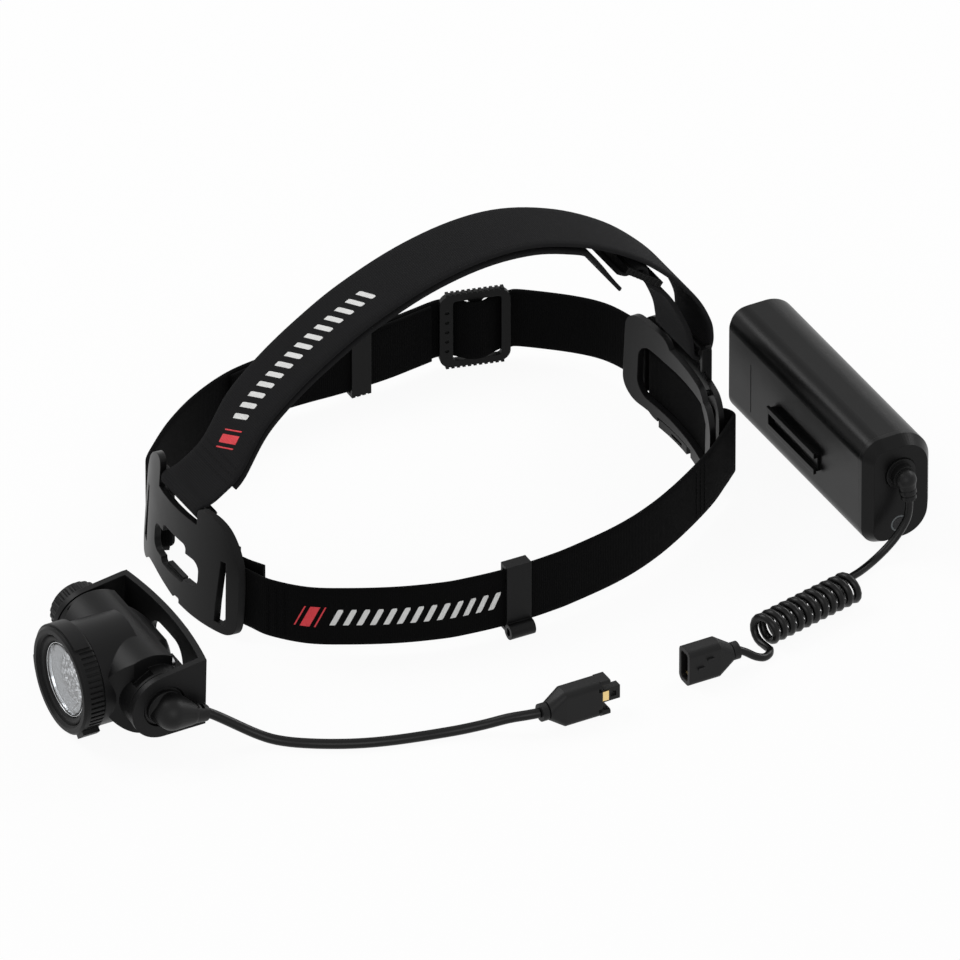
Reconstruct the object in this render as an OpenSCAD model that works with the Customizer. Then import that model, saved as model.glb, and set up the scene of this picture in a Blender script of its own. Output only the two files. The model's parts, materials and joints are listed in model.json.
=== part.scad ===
// Cap lamp in three groups that lie on one surface: a tilting lamp head in its cradle,
// a headband with a crossing top strap, and a battery box with a curly lead.
// +Z is up, the lamp shines along -Y, and the battery box is at +Y.

/* [Lamp cradle] */
// Width across the outside of both arms
cradle_w = 62; // [60:0.5:66]
// Wall of the arms and back plate
cradle_t = 2.5; // [2:0.1:3]
// Distance from the pivot to the back plate's outer face, at the arms
cradle_back = 17; // [16.5:0.1:20]
// How far the back plate bulges rearward in the middle
back_bulge = 3.2; // [2.5:0.1:5]
// Radius of the arms' front ends about the pivot
arm_r = 13.2; // [12:0.1:14]
// Height of the back plate's top above the pivot
back_top = 15.4; // [14:0.1:17]

/* [Lamp head] */
// Radius of the round body about the pivot
drum_r = 16.6; // [16:0.1:17]
// How far the drum rises above its own radius at the top
drum_rise = 1; // [0.5:0.1:1.2]
// Radius of the round body seen from above
plan_r = 24; // [23:0.1:25]
// Radius of the barrel's neck inside the focus ring
barrel_r = 18.4; // [18.2:0.1:18.6]
// Distance from the pivot to the barrel's mouth
barrel_front = 20.5; // [19.5:0.1:22]
// Distance from the pivot back to the rear cover's joint
cover_joint = 7.5; // [7:0.1:9]
// Radius of the head's pivot stubs
stub_r = 7; // [6:0.1:7.4]
// Running clearance of each pivot stub, on the radius
stub_gap = 0.05; // [0.02:0.01:0.1]

/* [Focus ring and optics] */
// Outer radius of the focus ring
ring_r = 20.5; // [20.4:0.1:22]
// Width of the focus ring along the beam
ring_w = 8.5; // [8:0.1:9.5]
// Radius of the ring's front opening
ring_open_r = 17; // [16.8:0.1:17.4]
// Number of finger ribs that the ring has all round
ring_ribs = 60; // [40:2:80]
// Height of the ring's grip blocks above the ribs
tab_h = 1.6; // [1:0.1:2]
// Outer radius of the sliding lens carrier
carrier_r = 16.6; // [16.2:0.1:16.6]
// Wall of the lens carrier
carrier_t = 1.2; // [1:0.1:1.5]
// Thickness of the lens
lens_t = 2; // [1.5:0.1:2.5]
// Travel of the lens carrier while focusing
focus_travel = 3; // [2:0.1:3]

/* [Dimmer] */
// Radius of the dimmer knob
knob_r = 10.4; // [9:0.1:12.5]
// Length of the dimmer knob
knob_l = 8; // [5:0.1:10]
// Number of grip flutes on the knob
knob_flutes = 24; // [16:1:30]
// Radius of the dimmer shaft
shaft_r = 2.5; // [2:0.1:3]

/* [Straps] */
// Height of the head strap
strap_h = 25; // [22:0.5:27]
// Thickness of each strap
strap_t = 1.6; // [1.2:0.1:1.8]
// Height of the head strap's lower edge above the surface
strap_z = 4; // [3.5:0.1:5]
// Width of the top strap
top_w = 28; // [24:0.5:28]

/* [Battery box] */
// Length of the battery box with its end cap
box_l = 107; // [100:1:120]
// Thickness of the battery box
box_t = 28; // [28:0.5:32]
// Height of the battery box
box_h = 45; // [45:0.5:50]
// Wall of the battery box
box_wall = 1.8; // [1.5:0.1:2]
// Depth of the end cap
cap_l = 6.5; // [6:0.1:9]
// Radius of each cell
cell_r = 9.2; // [8.8:0.1:9.6]
// Length of each cell
cell_l = 65; // [60:0.5:70]
// Length of the mounting rail
rail_l = 36; // [20:1:40]

/* [Leads] */
// Diameter of the battery box's lead
cord_d = 3; // [2.6:0.1:3.2]
// Diameter of the lamp's lead
lamp_cord_d = 3.8; // [3.4:0.1:4]
// Outside diameter of the curly part
coil_d = 13; // [12:0.5:13]
// Turns of the curly part
coil_turns = 11; // [6:1:11]
// Length of the curly part along its axis
coil_l = 44; // [42:1:50]
// Height of the plugs
plug_h = 15; // [14:0.5:16]
// Thickness of the plugs
plug_t = 8; // [7:0.5:9]

/* [Hidden] */
$fn = 64;

// ---- shared helpers ----

// A smooth open curve through the given points, with n steps in each span
function curve(pts, n = 6) = [
    for (i = [0 : len(pts) - 2], k = [0 : n - 1])
        let (a = pts[max(i - 1, 0)], b = pts[i], c = pts[i + 1], d = pts[min(i + 2, len(pts) - 1)], t = k / n)
            0.5 * (2 * b + (c - a) * t + (2 * a - 5 * b + 4 * c - d) * t * t + (3 * b - a - 3 * c + d) * t * t * t),
    pts[len(pts) - 1]];
function unit(v) = v / norm(v);
function heading(path, i) = unit(path[min(i + 1, len(path) - 1)] - path[max(i - 1, 0)]);
// Points beside a flat path, at a distance to its left
function beside(path, off) = [for (i = [0 : len(path) - 1])
    let (h = heading(path, i)) path[i] + off * [-h[1], h[0]]];
function backwards(list) = [for (i = [len(list) - 1 : -1 : 0]) list[i]];
function travel(path) = len(path) < 2 ? 0 : norm(path[1] - path[0]) + travel([for (i = [1 : len(path) - 1]) path[i]]);

// Flat band along a path, from one offset to another
module ribbon(path, from, to) polygon(concat(beside(path, from), backwards(beside(path, to))));

// Round tube along points in space; side is a direction that the path never runs along
module tube(path, r, side, sides = 8) {
    rings = [for (i = [0 : len(path) - 1])
        let (h = heading(path, i), u = unit(cross(h, side)), v = cross(u, h))
            for (k = [0 : sides - 1]) path[i] + r * (cos(360 * k / sides) * u + sin(360 * k / sides) * v)];
    swept(rings, len(path), sides);
}
// Closed skin over rings of points
module swept(points, rings, sides) polyhedron(points, concat(
    [[for (k = [0 : sides - 1]) k]],
    [for (i = [0 : rings - 2], k = [0 : sides - 1])
        let (a = i * sides + k, b = i * sides + (k + 1) % sides) each [[a, a + sides, b], [b, a + sides, b + sides]]],
    [[for (k = [sides - 1 : -1 : 0]) (rings - 1) * sides + k]]));

// Rectangle with round corners, about the origin
module rounded(w, h, r) {
    square([w - 2 * r, h], center = true);
    square([w, h - 2 * r], center = true);
    for (x = [-1, 1], y = [-1, 1]) translate([x * (w / 2 - r), y * (h / 2 - r)]) circle(r);
}
// Extrusion along +X of a drawing in Y and Z, along +Y of a drawing in X and Z, and along -Y of a turned form
module along_x(l) rotate([90, 0, 90]) linear_extrude(l) children();
module along_y(l) rotate([90, 0, 0]) mirror([0, 0, 1]) linear_extrude(l) children();
module rod_x(r, l) rotate([0, 90, 0]) cylinder(r = r, h = l);
module rod_y(r, l) rotate([-90, 0, 0]) cylinder(r = r, h = l);
module ahead() rotate([90, 0, 0]) children();

// ---- where the groups lie, from the middle of the headband ----

fit = 0.3;        // clearance between pieces that don't run on each other
lamp_x = 55.2;
lamp_y = -156.8;
lamp_roll = 2.5;  // the lamp leans a little towards its lead
pivot_z = ring_r;
box_x = 96;       // lead end of the battery box
box_y = 129.3;    // flat side of the battery box
far_out = -88.45; // reach of the head strap on the far side
ring_front = barrel_front + 6.5;
ring_back = ring_front - ring_w;
centre_x = (far_out + box_x) / 2;
centre_y = (lamp_y - ring_front + box_y + box_t) / 2;
module placed() translate([-centre_x, -centre_y, 0]) children();
module at_lamp() placed() translate([lamp_x, lamp_y, pivot_z]) rotate([0, lamp_roll, 0]) children();

// ---- lamp cradle: pivot at the origin ----

arm_in = cradle_w / 2 - cradle_t;            // inner face of each arm
back_r = (pow(cradle_w / 2, 2) + pow(back_bulge, 2)) / (2 * back_bulge);
recess_r = 8.4;                               // seat of the lead's boot in the near arm
recess_d = 1.6;
key_w = 25;                                  // opening in the back plate
key_h = 15;
lip_w = 12;                                  // lips that hook into the front plate

module cradle_plan(inset) intersection() {
    translate([-cradle_w / 2 + inset, -arm_r - 1]) square([cradle_w - 2 * inset, arm_r + cradle_back + back_bulge + 2]);
    translate([0, cradle_back + back_bulge - back_r]) circle(r = back_r - inset, $fn = 128);
}
module arm_side() {
    circle(r = arm_r);
    polygon([[0, -arm_r], [cradle_back + back_bulge + 1, -arm_r], [cradle_back + back_bulge + 1, back_top],
        [cradle_back - 2, back_top], [-2.2, sqrt(pow(arm_r, 2) - 4.84)]]);
}
module lamp_cradle() color("#222222") at_lamp() difference() {
    union() {
        intersection() {
            translate([0, 0, -arm_r - 1]) linear_extrude(arm_r + back_top + 2) difference() {
                cradle_plan(0);
                translate([0, -2]) cradle_plan(cradle_t);
                cradle_plan(cradle_t);
            }
            translate([-cradle_w / 2 - 1, 0, 0]) along_x(cradle_w + 2) arm_side();
        }
        for (s = [-1, 1]) translate([-lip_w / 2, cradle_back + back_bulge - cradle_t + 0.3, s * (key_h / 2 + 1.2) - 0.8]) {
            cube([lip_w, cradle_t + 2.4, 1.6]);
            translate([0, cradle_t + 1, s > 0 ? 0 : -1.2]) cube([lip_w, 1.4, 2.8]);
        }
    }
    translate([0, cradle_back - 4, 0]) along_y(12) rounded(key_w, key_h, key_h / 2 - 0.5);
    translate([-cradle_w / 2 - 1, 0, 0]) rod_x(stub_r + stub_gap, cradle_w + 2);
    translate([cradle_w / 2 - recess_d, 0, 0]) rod_x(recess_r, recess_d + 1);
}
washer_t = 0.4;
module pivot_washers() color("#888888") at_lamp() for (s = [-1, 1])
    translate([s > 0 ? arm_in - washer_t : -arm_in, 0, 0]) difference() {
        rod_x(10, washer_t);
        translate([-1, 0, 0]) rod_x(stub_r + 0.2, washer_t + 2);
    }

// ---- lead boot on the near arm ----

boot_reach = 5;     // how far the boot's elbow stands out from the arm
boot_tip = [35.4, 14.6, -4.7];
boot_knee = [cradle_w / 2 + boot_reach, 0.8, -0.6];
boot_r = 5.2;
neck_l = norm(boot_tip - boot_knee);
// Turns +Z to run from one point towards another
module aimed(a, b) {
    d = b - a;
    translate(a) rotate([0, acos(d[2] / norm(d)), atan2(d[1], d[0])]) children();
}
module lamp_boot() color("#1c1c1c") at_lamp() {
    translate([cradle_w / 2 - recess_d, 0, 0]) rod_x(recess_r - 0.5, 1);
    translate([cradle_w / 2 - recess_d, 0, 0]) rod_x(7, recess_d + 0.8);
    translate([cradle_w / 2 + 0.6, 0, 0]) rotate([0, 90, 0]) cylinder(r1 = 6.8, r2 = boot_r, h = boot_reach - 1);
    translate(boot_knee) sphere(r = boot_r);
    // neck with two grip windows on each side
    aimed(boot_knee, boot_tip) difference() {
        cylinder(r1 = boot_r - 0.35, r2 = lamp_cord_d / 2 + 1.2, h = neck_l);
        for (k = [0.62, 0.8], s = [0, 1]) rotate(90 + 180 * s) translate([-1.7, 2.2, k * neck_l - 0.7]) cube([3.4, 5, 1.5]);
    }
}

// ---- lamp head ----

shoulder_x = arm_in - washer_t - 0.1;        // end face of each shoulder
shoulder_r = arm_r - 0.2;
cavity_r = carrier_r + 0.05;
cavity_back = 4.8;                           // floor of the carrier's bore, ahead of the pivot
inner_wall = 1.5;                            // between that bore and the rear cavity
rear_floor = cavity_back - inner_wall;
post_r = 7;                                  // heat sink's post through that wall
rear_cavity_r = 12.2;
drum_half = 22.5;
screw_at = [17.2, 7.5];

// Round body: a drum across the lamp, rounded in plan
module head_body(grow = 0) intersection() {
    translate([-drum_half, 0, 0]) union() {
        rod_x(drum_r + grow, 2 * drum_half);
        translate([0, -2 * drum_rise, drum_rise]) rod_x(drum_r + grow, 2 * drum_half);
    }
    translate([0, 0, -drum_r - 2]) cylinder(r = plan_r + grow, h = 2 * drum_r + 4);
}
module behind(y) translate([-50, y, -50]) cube([100, 100, 100]);
module head_housing() color("#262626") at_lamp() difference() {
    union() {
        difference() {
            head_body();
            behind(cover_joint);
        }
        ahead() cylinder(r = barrel_r, h = barrel_front);
        // fuller part of the barrel behind the ring
        ahead() cylinder(r = ring_r - 0.8, h = ring_back - 0.3);
        difference() {
            translate([-shoulder_x, 0, 0]) rod_x(shoulder_r, 2 * shoulder_x);
            behind(cover_joint);
            // stepped windows beside each arm
            for (s = [-1, 1]) rotate([32, 0, 0]) translate([s * 24.4 - 2.6, -3.4, shoulder_r - 2]) cube([5.2, 8, 6]);
        }
        translate([-cradle_w / 2, 0, 0]) rod_x(stub_r, cradle_w - recess_d - 0.3);
    }
    ahead() translate([0, 0, cavity_back]) cylinder(r = cavity_r, h = barrel_front);
    translate([0, cover_joint + 1, 0]) ahead() cylinder(r = rear_cavity_r, h = cover_joint + 1 + rear_floor);
    ahead() cylinder(r = post_r, h = cavity_back + 1);
    // groove of the lens seal and pocket of the dimmer's switch
    ahead() translate([0, 0, barrel_front - 1.8]) cylinder(r = barrel_r - 0.8, h = 1.2);
    translate([-17.65, -rear_floor, -4.05]) cube([8, rear_floor + 4.05, 8.1]);
    // bores of the dimmer shaft and of the lead
    translate([-cradle_w / 2 - 1, 0, 0]) rod_x(shaft_r + 0.05, 22);
    translate([10, 0, 0]) rod_x(lamp_cord_d / 2 + 0.4, 22);
    // seat of the shaft's seal and of the cover's seal
    translate([-arm_in - 0.3, 0, 0]) rod_x(shaft_r + 1.4, 2.2);
    translate([0, cover_joint + 0.01, 0]) ahead() difference() {
        cylinder(r = 14.6, h = 1);
        translate([0, 0, -1]) cylinder(r = 13.2, h = 3);
    }
    for (x = [-1, 1], z = [-1, 1]) translate([x * screw_at[0], cover_joint + 1, z * screw_at[1]]) ahead() cylinder(r = 0.95, h = 8);
}
module head_rear_cover() color("#232323") at_lamp() difference() {
    intersection() {
        union() {
            head_body();
            translate([-shoulder_x, 0, 0]) rod_x(shoulder_r, 2 * shoulder_x);
        }
        behind(cover_joint);
        translate([0, -8, 0]) sphere(r = 24.4);
    }
    translate([0, cover_joint + 3.6, 0]) ahead() cylinder(r = rear_cavity_r - 1, h = 5);
    for (x = [-1, 1], z = [-1, 1]) translate([x * screw_at[0], 0, z * screw_at[1]]) {
        rod_y(1.25, 40);
        translate([0, cover_joint + 2, 0]) rod_y(2.2, 40);
    }
}
module head_screws() color("#9a9a9a") at_lamp() for (x = [-1, 1], z = [-1, 1])
    translate([x * screw_at[0], 0, z * screw_at[1]]) difference() {
        union() {
            translate([0, cover_joint - 5.5, 0]) rod_y(0.95, 8);
            translate([0, cover_joint + 2, 0]) rod_y(1.9, 1.2);
        }
        translate([0, cover_joint + 2.5, 0]) rod_y(0.8, 2);
    }
module ring_seal(r, cord_r) rotate_extrude() translate([r, 0]) circle(r = cord_r, $fn = 24);
module head_seal() color("#101010") at_lamp() translate([0, cover_joint - 0.5, 0]) ahead() ring_seal(13.9, 0.48);

// ---- focus ring and optics: they lie along the beam, ahead of the pivot ----

tab_turns = [195, 315];
skirt_r = barrel_r + 0.3;
module focus_ring() color("#1d1d1d") at_lamp() ahead() difference() {
    union() {
        rotate_extrude($fn = 128) polygon([[ring_open_r, ring_front - 1.2], [ring_open_r + 1, ring_front], [ring_r - 0.8, ring_front],
            [ring_r, ring_front - 0.8], [ring_r, ring_back + 0.6], [ring_r - 0.4, ring_back], [skirt_r, ring_back],
            [skirt_r, barrel_front + 0.4],
            [ring_open_r, barrel_front + 0.4]]);
        // two grip blocks and a smooth shield above
        for (a = tab_turns) rotate(a) translate([0, 0, ring_back + 0.7]) intersection() {
            difference() {
                cylinder(r = ring_r + tab_h, h = ring_w - 1.7);
                translate([0, 0, -1]) cylinder(r = ring_r - 1, h = ring_w + 1);
            }
            translate([ring_r, 0, 0]) cube([14, 6, 30], center = true);
        }
        translate([0, 0, ring_back + 0.9]) intersection() {
            difference() {
                cylinder(r = ring_r + 0.8, h = ring_w - 2.3, $fn = 128);
                translate([0, 0, -1]) cylinder(r = ring_r - 0.6, h = ring_w + 1);
            }
            translate([0, 0, -1]) linear_extrude(ring_w + 2) polygon([[0, 0], [20, 42], [-50, 42], [-50, -8]]);
        }
    }
    // finger grooves everywhere but under the shield and on the tabs
    for (k = [0 : ring_ribs - 1])
        let (a = 360 * k / ring_ribs)
            if ((a < 63 || a > tab_turns[0]) && abs(a - tab_turns[0]) > 10 && abs(a - tab_turns[1]) > 10) rotate(a) translate([ring_r - 0.75, -0.5, ring_back - 1])
                cube([2, 1, ring_w - 1.5]);
}
carrier_x0 = cavity_back + 0.6 + focus_travel; // back of the carrier in its forward place
carrier_l = ring_front - 2.2 - carrier_x0;
module lens_carrier() color("#c9c9c9") at_lamp() ahead() translate([0, 0, carrier_x0]) difference() {
    cylinder(r = carrier_r, h = carrier_l);
    translate([0, 0, carrier_l - lens_t - 0.6]) cylinder(r = carrier_r - carrier_t, h = lens_t + 2);
    rotate_extrude() polygon([[0, -1], [7.3, -1], [7.3, 1], [10.2, 5], [13.8, carrier_l - lens_t], [0, carrier_l - lens_t]]);
}
lens_z = carrier_x0 + carrier_l - lens_t - 0.6;
module lens() color("#d8e6ee", 0.5) at_lamp() ahead() translate([0, 0, lens_z]) {
    cylinder(r = carrier_r - carrier_t - 0.02, h = lens_t);
    translate([0, 0, lens_t]) cylinder(r1 = 13.8, r2 = 13.2, h = 0.5);
}
module lens_seal() color("#101010") at_lamp() ahead() translate([0, 0, barrel_front - 1.8]) rotate_extrude()
    polygon([[carrier_r + 0.1, 0], [barrel_r - 0.8, 0], [barrel_r - 0.8, 1.2], [carrier_r + 0.1, 1.2]]);
module heat_sink() color("#b4b4b4") at_lamp() ahead() difference() {
    union() {
        translate([0, 0, -4]) cylinder(r = rear_cavity_r - 0.05, h = rear_floor + 4);
        cylinder(r = post_r - 0.05, h = cavity_back - 0.6);
    }
    for (k = [-2 : 2]) translate([k * 3.6, 0, -4]) cube([1.6, 2 * rear_cavity_r, 5], center = true);
}
module led_board() color("#e8e8e0") at_lamp() ahead() translate([0, 0, cavity_back - 0.6]) cylinder(r = 6.9, h = 1);
module led_emitter() color("#e6d25a") at_lamp() ahead() translate([0, 0, cavity_back + 0.4]) {
    translate([-1.75, -1.75, 0]) cube([3.5, 3.5, 0.7]);
    intersection() {
        translate([0, 0, 0.7]) sphere(r = 1.5);
        translate([-3, -3, 0.7]) cube(6);
    }
}
module driver_board() color("#1e5a36") at_lamp() ahead() translate([0, 0, -6.2]) cylinder(r = rear_cavity_r - 0.05, h = 1.2);

// ---- dimmer ----

arm_out = cradle_w / 2;
module dimmer_switch() color("#303030") at_lamp() translate([-17.6, -rear_floor + 0.05, -4]) difference() {
    cube([4.2, rear_floor + 3.95, 8]);
    translate([-1, rear_floor - 0.05, 4]) rod_x(shaft_r + 0.05, 6);
}
module dimmer_knob() color("#1f1f1f") at_lamp() translate([-arm_out - fit - knob_l, 0, 0]) difference() {
    union() {
        translate([0.8, 0, 0]) rod_x(knob_r, knob_l - 0.8);
        rotate([0, 90, 0]) cylinder(r1 = knob_r - 0.8, r2 = knob_r, h = 0.8);
    }
    for (k = [0 : knob_flutes - 1]) rotate([360 * k / knob_flutes, 0, 0]) translate([-1, 0, knob_r + 0.25]) rod_x(0.85, knob_l - 1);
    translate([-1, 0, 0]) rod_x(knob_r - 2.6, 1.6);
    translate([2, 0, 0]) rod_x(shaft_r, knob_l);
}
module dimmer_shaft() color("#a0a0a0") at_lamp() translate([-arm_out - fit - knob_l + 2, 0, 0]) rod_x(shaft_r, arm_out + fit + knob_l - 2 - 14.6);
module dimmer_seal() color("#101010") at_lamp() translate([-arm_in + 0.8, 0, 0]) rotate([0, 90, 0]) ring_seal(shaft_r + 0.68, 0.6);

// ---- headband: plates ----

plate_t = 2.6;
front_face = -109.5;         // outer face of the front plate at its middle and foot
front_arc_r = 80;            // outer radius of the front plate seen from above
front_lean = 4;              // the plate leans back
front_half = 36;
strap_mid = strap_z + strap_h / 2;
top_slot_z = 39.6;             // lower edge of the gap for the top strap
top_bar = [-101.5, 43.2];      // round bar that the top strap loops round at the front
top_bar_r = 1.3;
lug_half = top_w / 2 + 0.6;
pin_turn = 22;               // the head strap's pins, from the middle of the plate's arc
pin_in = 8.25;               // how far they lie inside the arc
pin_r = 1.3;

module arc_shell(outer, t, y, h) translate([0, y, 0]) linear_extrude(h) difference() {
    circle(r = outer, $fn = 128);
    circle(r = outer - t, $fn = 128);
}
// Rectangle in X and Z between two corners, with round corners
module window(x0, x1, z0, z1, r) translate([(x0 + x1) / 2, (z0 + z1) / 2]) rounded(x1 - x0, z1 - z0, r);
// Point by its turn along the front plate's arc and its distance inside the outer face
function on_front(turn, inside) = [(front_arc_r - inside) * sin(turn),
    front_face + front_arc_r - (front_arc_r - inside) * cos(turn)];

near_edge = [[5, 2], [16.2, 0.9], [28.8, 0.6], [33.2, 1.5], [35.4, 4], [front_half, 9], [front_half, 18], [35.4, 29], [33.9, 35],
    [31.6, 40.2], [28.4, 44.4], [24, 46.8], [18.4, 47.4], [15.6, 46.8], [lug_half, 45]];
far_edge = [[-lug_half, 47.4], [-15.5, 50], [-18.4, 50.9], [-22.4, 49.4], [-27.2, 45.8], [-31.5, 40.8], [-34.4, 35], [-35.8, 27],
    [-35.6, 12], [-34.6, 5.6], [-32, 2], [-28.6, 1.2], [-25, 2], [-21, 4.8], [-14, 5.4], [-5, 4.2], [0.6, 3]];
module front_outline() difference() {
    polygon(concat(curve(near_edge, 4), [[lug_half, top_slot_z], [-lug_half, top_slot_z]], curve(far_edge, 4)));
    // tapered side slots
    polygon([[26.2, 4.4], [31.4, 4.4], [31.2, 9], [29.9, 31], [27.6, 31], [26.4, 12]]);
    polygon([[-26.4, 8], [-31.4, 8], [-30, 31], [-27.8, 31]]);
    // key opening, wider in the middle, with room for the cradle's lips
    window(-16, 17, 13.2, 24.4, 4);
    window(-8, 9, 11.2, 27.8, 2);
    // notch in the lower edge
    window(2.8, 6.8, -3, 3.6, 0.8);
}
module front_plate() color("#2b2b2b") placed() {
    translate([0, front_face, 0]) rotate([-front_lean, 0, 0]) {
        intersection() {
            translate([0, 0, -1]) arc_shell(front_arc_r, plate_t, front_arc_r, 60);
            translate([0, -5, 0]) along_y(40) front_outline();
        }
        // upper and lower tabs in the key opening
        for (z = [27, 10.6]) translate([-5.5, plate_t - 0.6, z]) cube([12, 2, 1.6]);
    }
    // lugs that carry the top strap's bar
    for (s = [-1, 1]) translate([s * (lug_half + 1.6) - 1.2, -104.2, top_bar[1] - 1.7]) cube([2.4, 3.8, 4]);
    translate([-lug_half - 1.4, top_bar[0], top_bar[1]]) rod_x(top_bar_r, 2 * lug_half + 2.8);
    // pins behind the side slots, and their lugs above and below the head strap
    for (s = [-1, 1]) translate([0, front_face + front_arc_r, 0]) rotate([0, 0, s * pin_turn]) {
        translate([0, pin_in - front_arc_r, 1.9]) cylinder(r = pin_r, h = 31.6);
        translate([-1.6, pin_in - front_arc_r - 1, strap_z - 2.2]) cube([3.2, 2, 1.8]);
        translate([-1.6, plate_t - front_arc_r - 1, strap_z - 2.2]) cube([3.2, pin_in - plate_t + 1.4, 1.8]);
        translate([-1.6, plate_t - front_arc_r + 0.6, strap_z + strap_h + 2.6]) cube([3.2, pin_in - plate_t + 0.8, 2.6]);
    }
}

rear_face = 109;             // outer face of the rear shell at its middle
rear_arc_r = 130;
shell_half = 30;
shell_t = 2.2;
strap_gap = strap_t + 2 * fit;
rear_bar = [105, 48.6];        // round bar that the top strap loops round at the rear
rear_bar_r = 1.8;
tower_half = top_w / 2 + 2.6;
rear_roll = 3;               // the far end of the rear plates lies a little higher
rear_slot = 24.5;
rear_slot_w = 5;
module shell_outline() difference() {
    union() {
        rotate(-rear_roll) {
            window(-shell_half, shell_half, 2.6, 37, 9);
            window(-shell_half, 8, 10, 42, 9);
        }
        window(-tower_half, tower_half, 20, rear_bar[1] + 2.6, 2.4);
    }
    window(-top_w / 2 - 1, top_w / 2 + 1, 41, rear_bar[1] + 10, 1.2);
    for (s = [-1, 1]) scale([s, 1]) translate([rear_slot, 0])
        window(-rear_slot_w / 2, rear_slot_w / 2, strap_z - 0.8, strap_z + strap_h + 0.8, 1.2);
}
post_z = [[-22, 37], [20, 33.6], [-17, 2.6], [17, 2]];
module rear_plate() color("#2a2a2a") placed() {
    intersection() {
        arc_shell(rear_arc_r, shell_t, rear_face - rear_arc_r, rear_bar[1] + 3);
        translate([0, 80, 0]) along_y(40) shell_outline();
    }
    translate([-tower_half + 1.6, rear_bar[0], rear_bar[1]]) rod_x(rear_bar_r, 2 * tower_half - 3.2);
    for (s = [-1, 1]) translate([s * (tower_half - 0.8) - 0.8, rear_bar[0] - 1.1, rear_bar[1] - 8]) cube([1.6, 3, 10]);
}
frame_t = 2.4;
frame_arc_r = rear_arc_r - shell_t - strap_gap;
latch_x = [-13, 8];
module frame_outline() difference() {
    rotate(-rear_roll) {
        difference() {
            union() {
                window(-33.5, 33.5, 3, 35, 9);
                window(-33.5, -6, 10, 41, 7);
                window(-24, 26, 1.8, 38, 10);
            }
            // window whose upper bar tapers towards the near side
            window(-26, 27, strap_z + 3.6, 30.6, 7);
            polygon([[-16, 25], [27, 25], [27, 28], [21, 33], [-10, 30.6]]);
        }
    }
    // gap behind the latch
    translate([latch_x[0], -1]) square([latch_x[1] - latch_x[0] + 4, 5.4]);
}
module rear_frame() color("#333333") placed() {
    intersection() {
        arc_shell(frame_arc_r, frame_t, rear_face - rear_arc_r, 50);
        translate([0, 70, 0]) along_y(50) frame_outline();
    }
    // posts that hold the shell off the frame, above and below the strap
    for (p = post_z) translate([p[0], rear_face - rear_arc_r + sqrt(pow(frame_arc_r, 2) - pow(p[0], 2)) - 1.2, p[1]])
        rod_y(1.2, strap_gap + 1.2 + 0.2);
}
latch_y = rear_face - rear_arc_r + frame_arc_r - frame_t / 2;
module rear_latch() color("#2d2d2d") placed() {
  // rounded upper edge that the tongue turns about
  translate([latch_x[0] + fit, latch_y, 3.5]) rod_x(0.7, latch_x[1] - latch_x[0] - fit);
  intersection() {
    arc_shell(frame_arc_r - 0.3, frame_t - 0.6, rear_face - rear_arc_r, 20);
    translate([0, 70, 0]) along_y(50) difference() {
        translate([latch_x[0] + fit, 0]) square([latch_x[1] - latch_x[0] - fit, 3.6]);
        window(-4, 4, 1, 2.2, 0.5);
    }
  }
}

// ---- headband: straps, each a band along a hand-laid path ----

// The clip slides on an arc of the near side
clip_arc_r = 150;
clip_arc_at = [-70.3, -5];
// The slider's middle and its heading, from +X; a point on it by distance along it and towards the head
slider_at = [-81.9, 62.2];
slider_turn = 75.2;
function on_slider(along, inward) = slider_at + along * [cos(slider_turn), sin(slider_turn)]
    + inward * [sin(slider_turn), -cos(slider_turn)];
// Far side, where the strap lies double
far_run = [[-87.4, 45.5], [-86.4, 38], [-84.9, 25], [-84.5, 8], [-85.2, -10], [-84.8, -25], [-82.2, -41]];
// Head strap seen from above: it loops round the front plate's near bar, runs round the
// near side, through the rear plate, and round the far side to the front plate's far bar
pin_loop = [[-31, 10.9], [-26, 10.7], [-22.4, 10.65], [-20.4, 9.7], [-20, 8.2], [-20.5, 6.7], [-22.4, 5.85], [-26, 5.8], [-29.5, 5.3]];
head_path = concat(
    [for (p = pin_loop) on_front(-p[0], p[1])],
    [[44.8, -91], [55.4, -81.5], [63.2, -68.8], [71, -52.4]],
    [for (a = [-12 : 4 : 8]) clip_arc_at + clip_arc_r * [cos(a), sin(a)]],
    [[74.4, 36], [68.6, 53], [60, 70], [47.6, 89.6]],
    [[38, 101.4], [34, 106], [31, 109.2], [28.6, 109.6], [26, 108.3], [25, 106.2], [23.2, 104.4],
        [20.5, 104.05], [10, 105.3], [-10, 105.3], [-20.5, 104.05], [-23.2, 104.4], [-25, 106.4], [-28, 108.6]],
    [[-34, 109], [-44, 107.2], [-56, 103], [-66.5, 94.6]],
    [on_slider(18, -1.8), on_slider(13.5, -2.3), on_slider(10.4, -2.3), on_slider(6.2, 0), on_slider(2.2, 2.3),
        on_slider(-1.8, 2.3), on_slider(-5.2, 0), on_slider(-8.6, -2.3), on_slider(-13.5, -2.3)],
    far_run,
    [[-75, -58], [-65, -73.4], [-54.4, -85.6], [-45.2, -94]],
    [for (p = backwards(pin_loop)) on_front(p[0], p[1])]);
module head_strap() color("#1a1a1a") placed() translate([0, 0, strap_z]) linear_extrude(strap_h)
    ribbon(curve(head_path, 3), -strap_t / 2, strap_t / 2);
// Doubled layer of the head strap, just inside the first
double_in = strap_t / 2 + fit;
module head_strap_return() color("#191919") placed() translate([0, 0, strap_z + 0.3]) linear_extrude(strap_h - 0.6)
    ribbon(curve(far_run, 4), double_in, double_in + strap_t);

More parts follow.
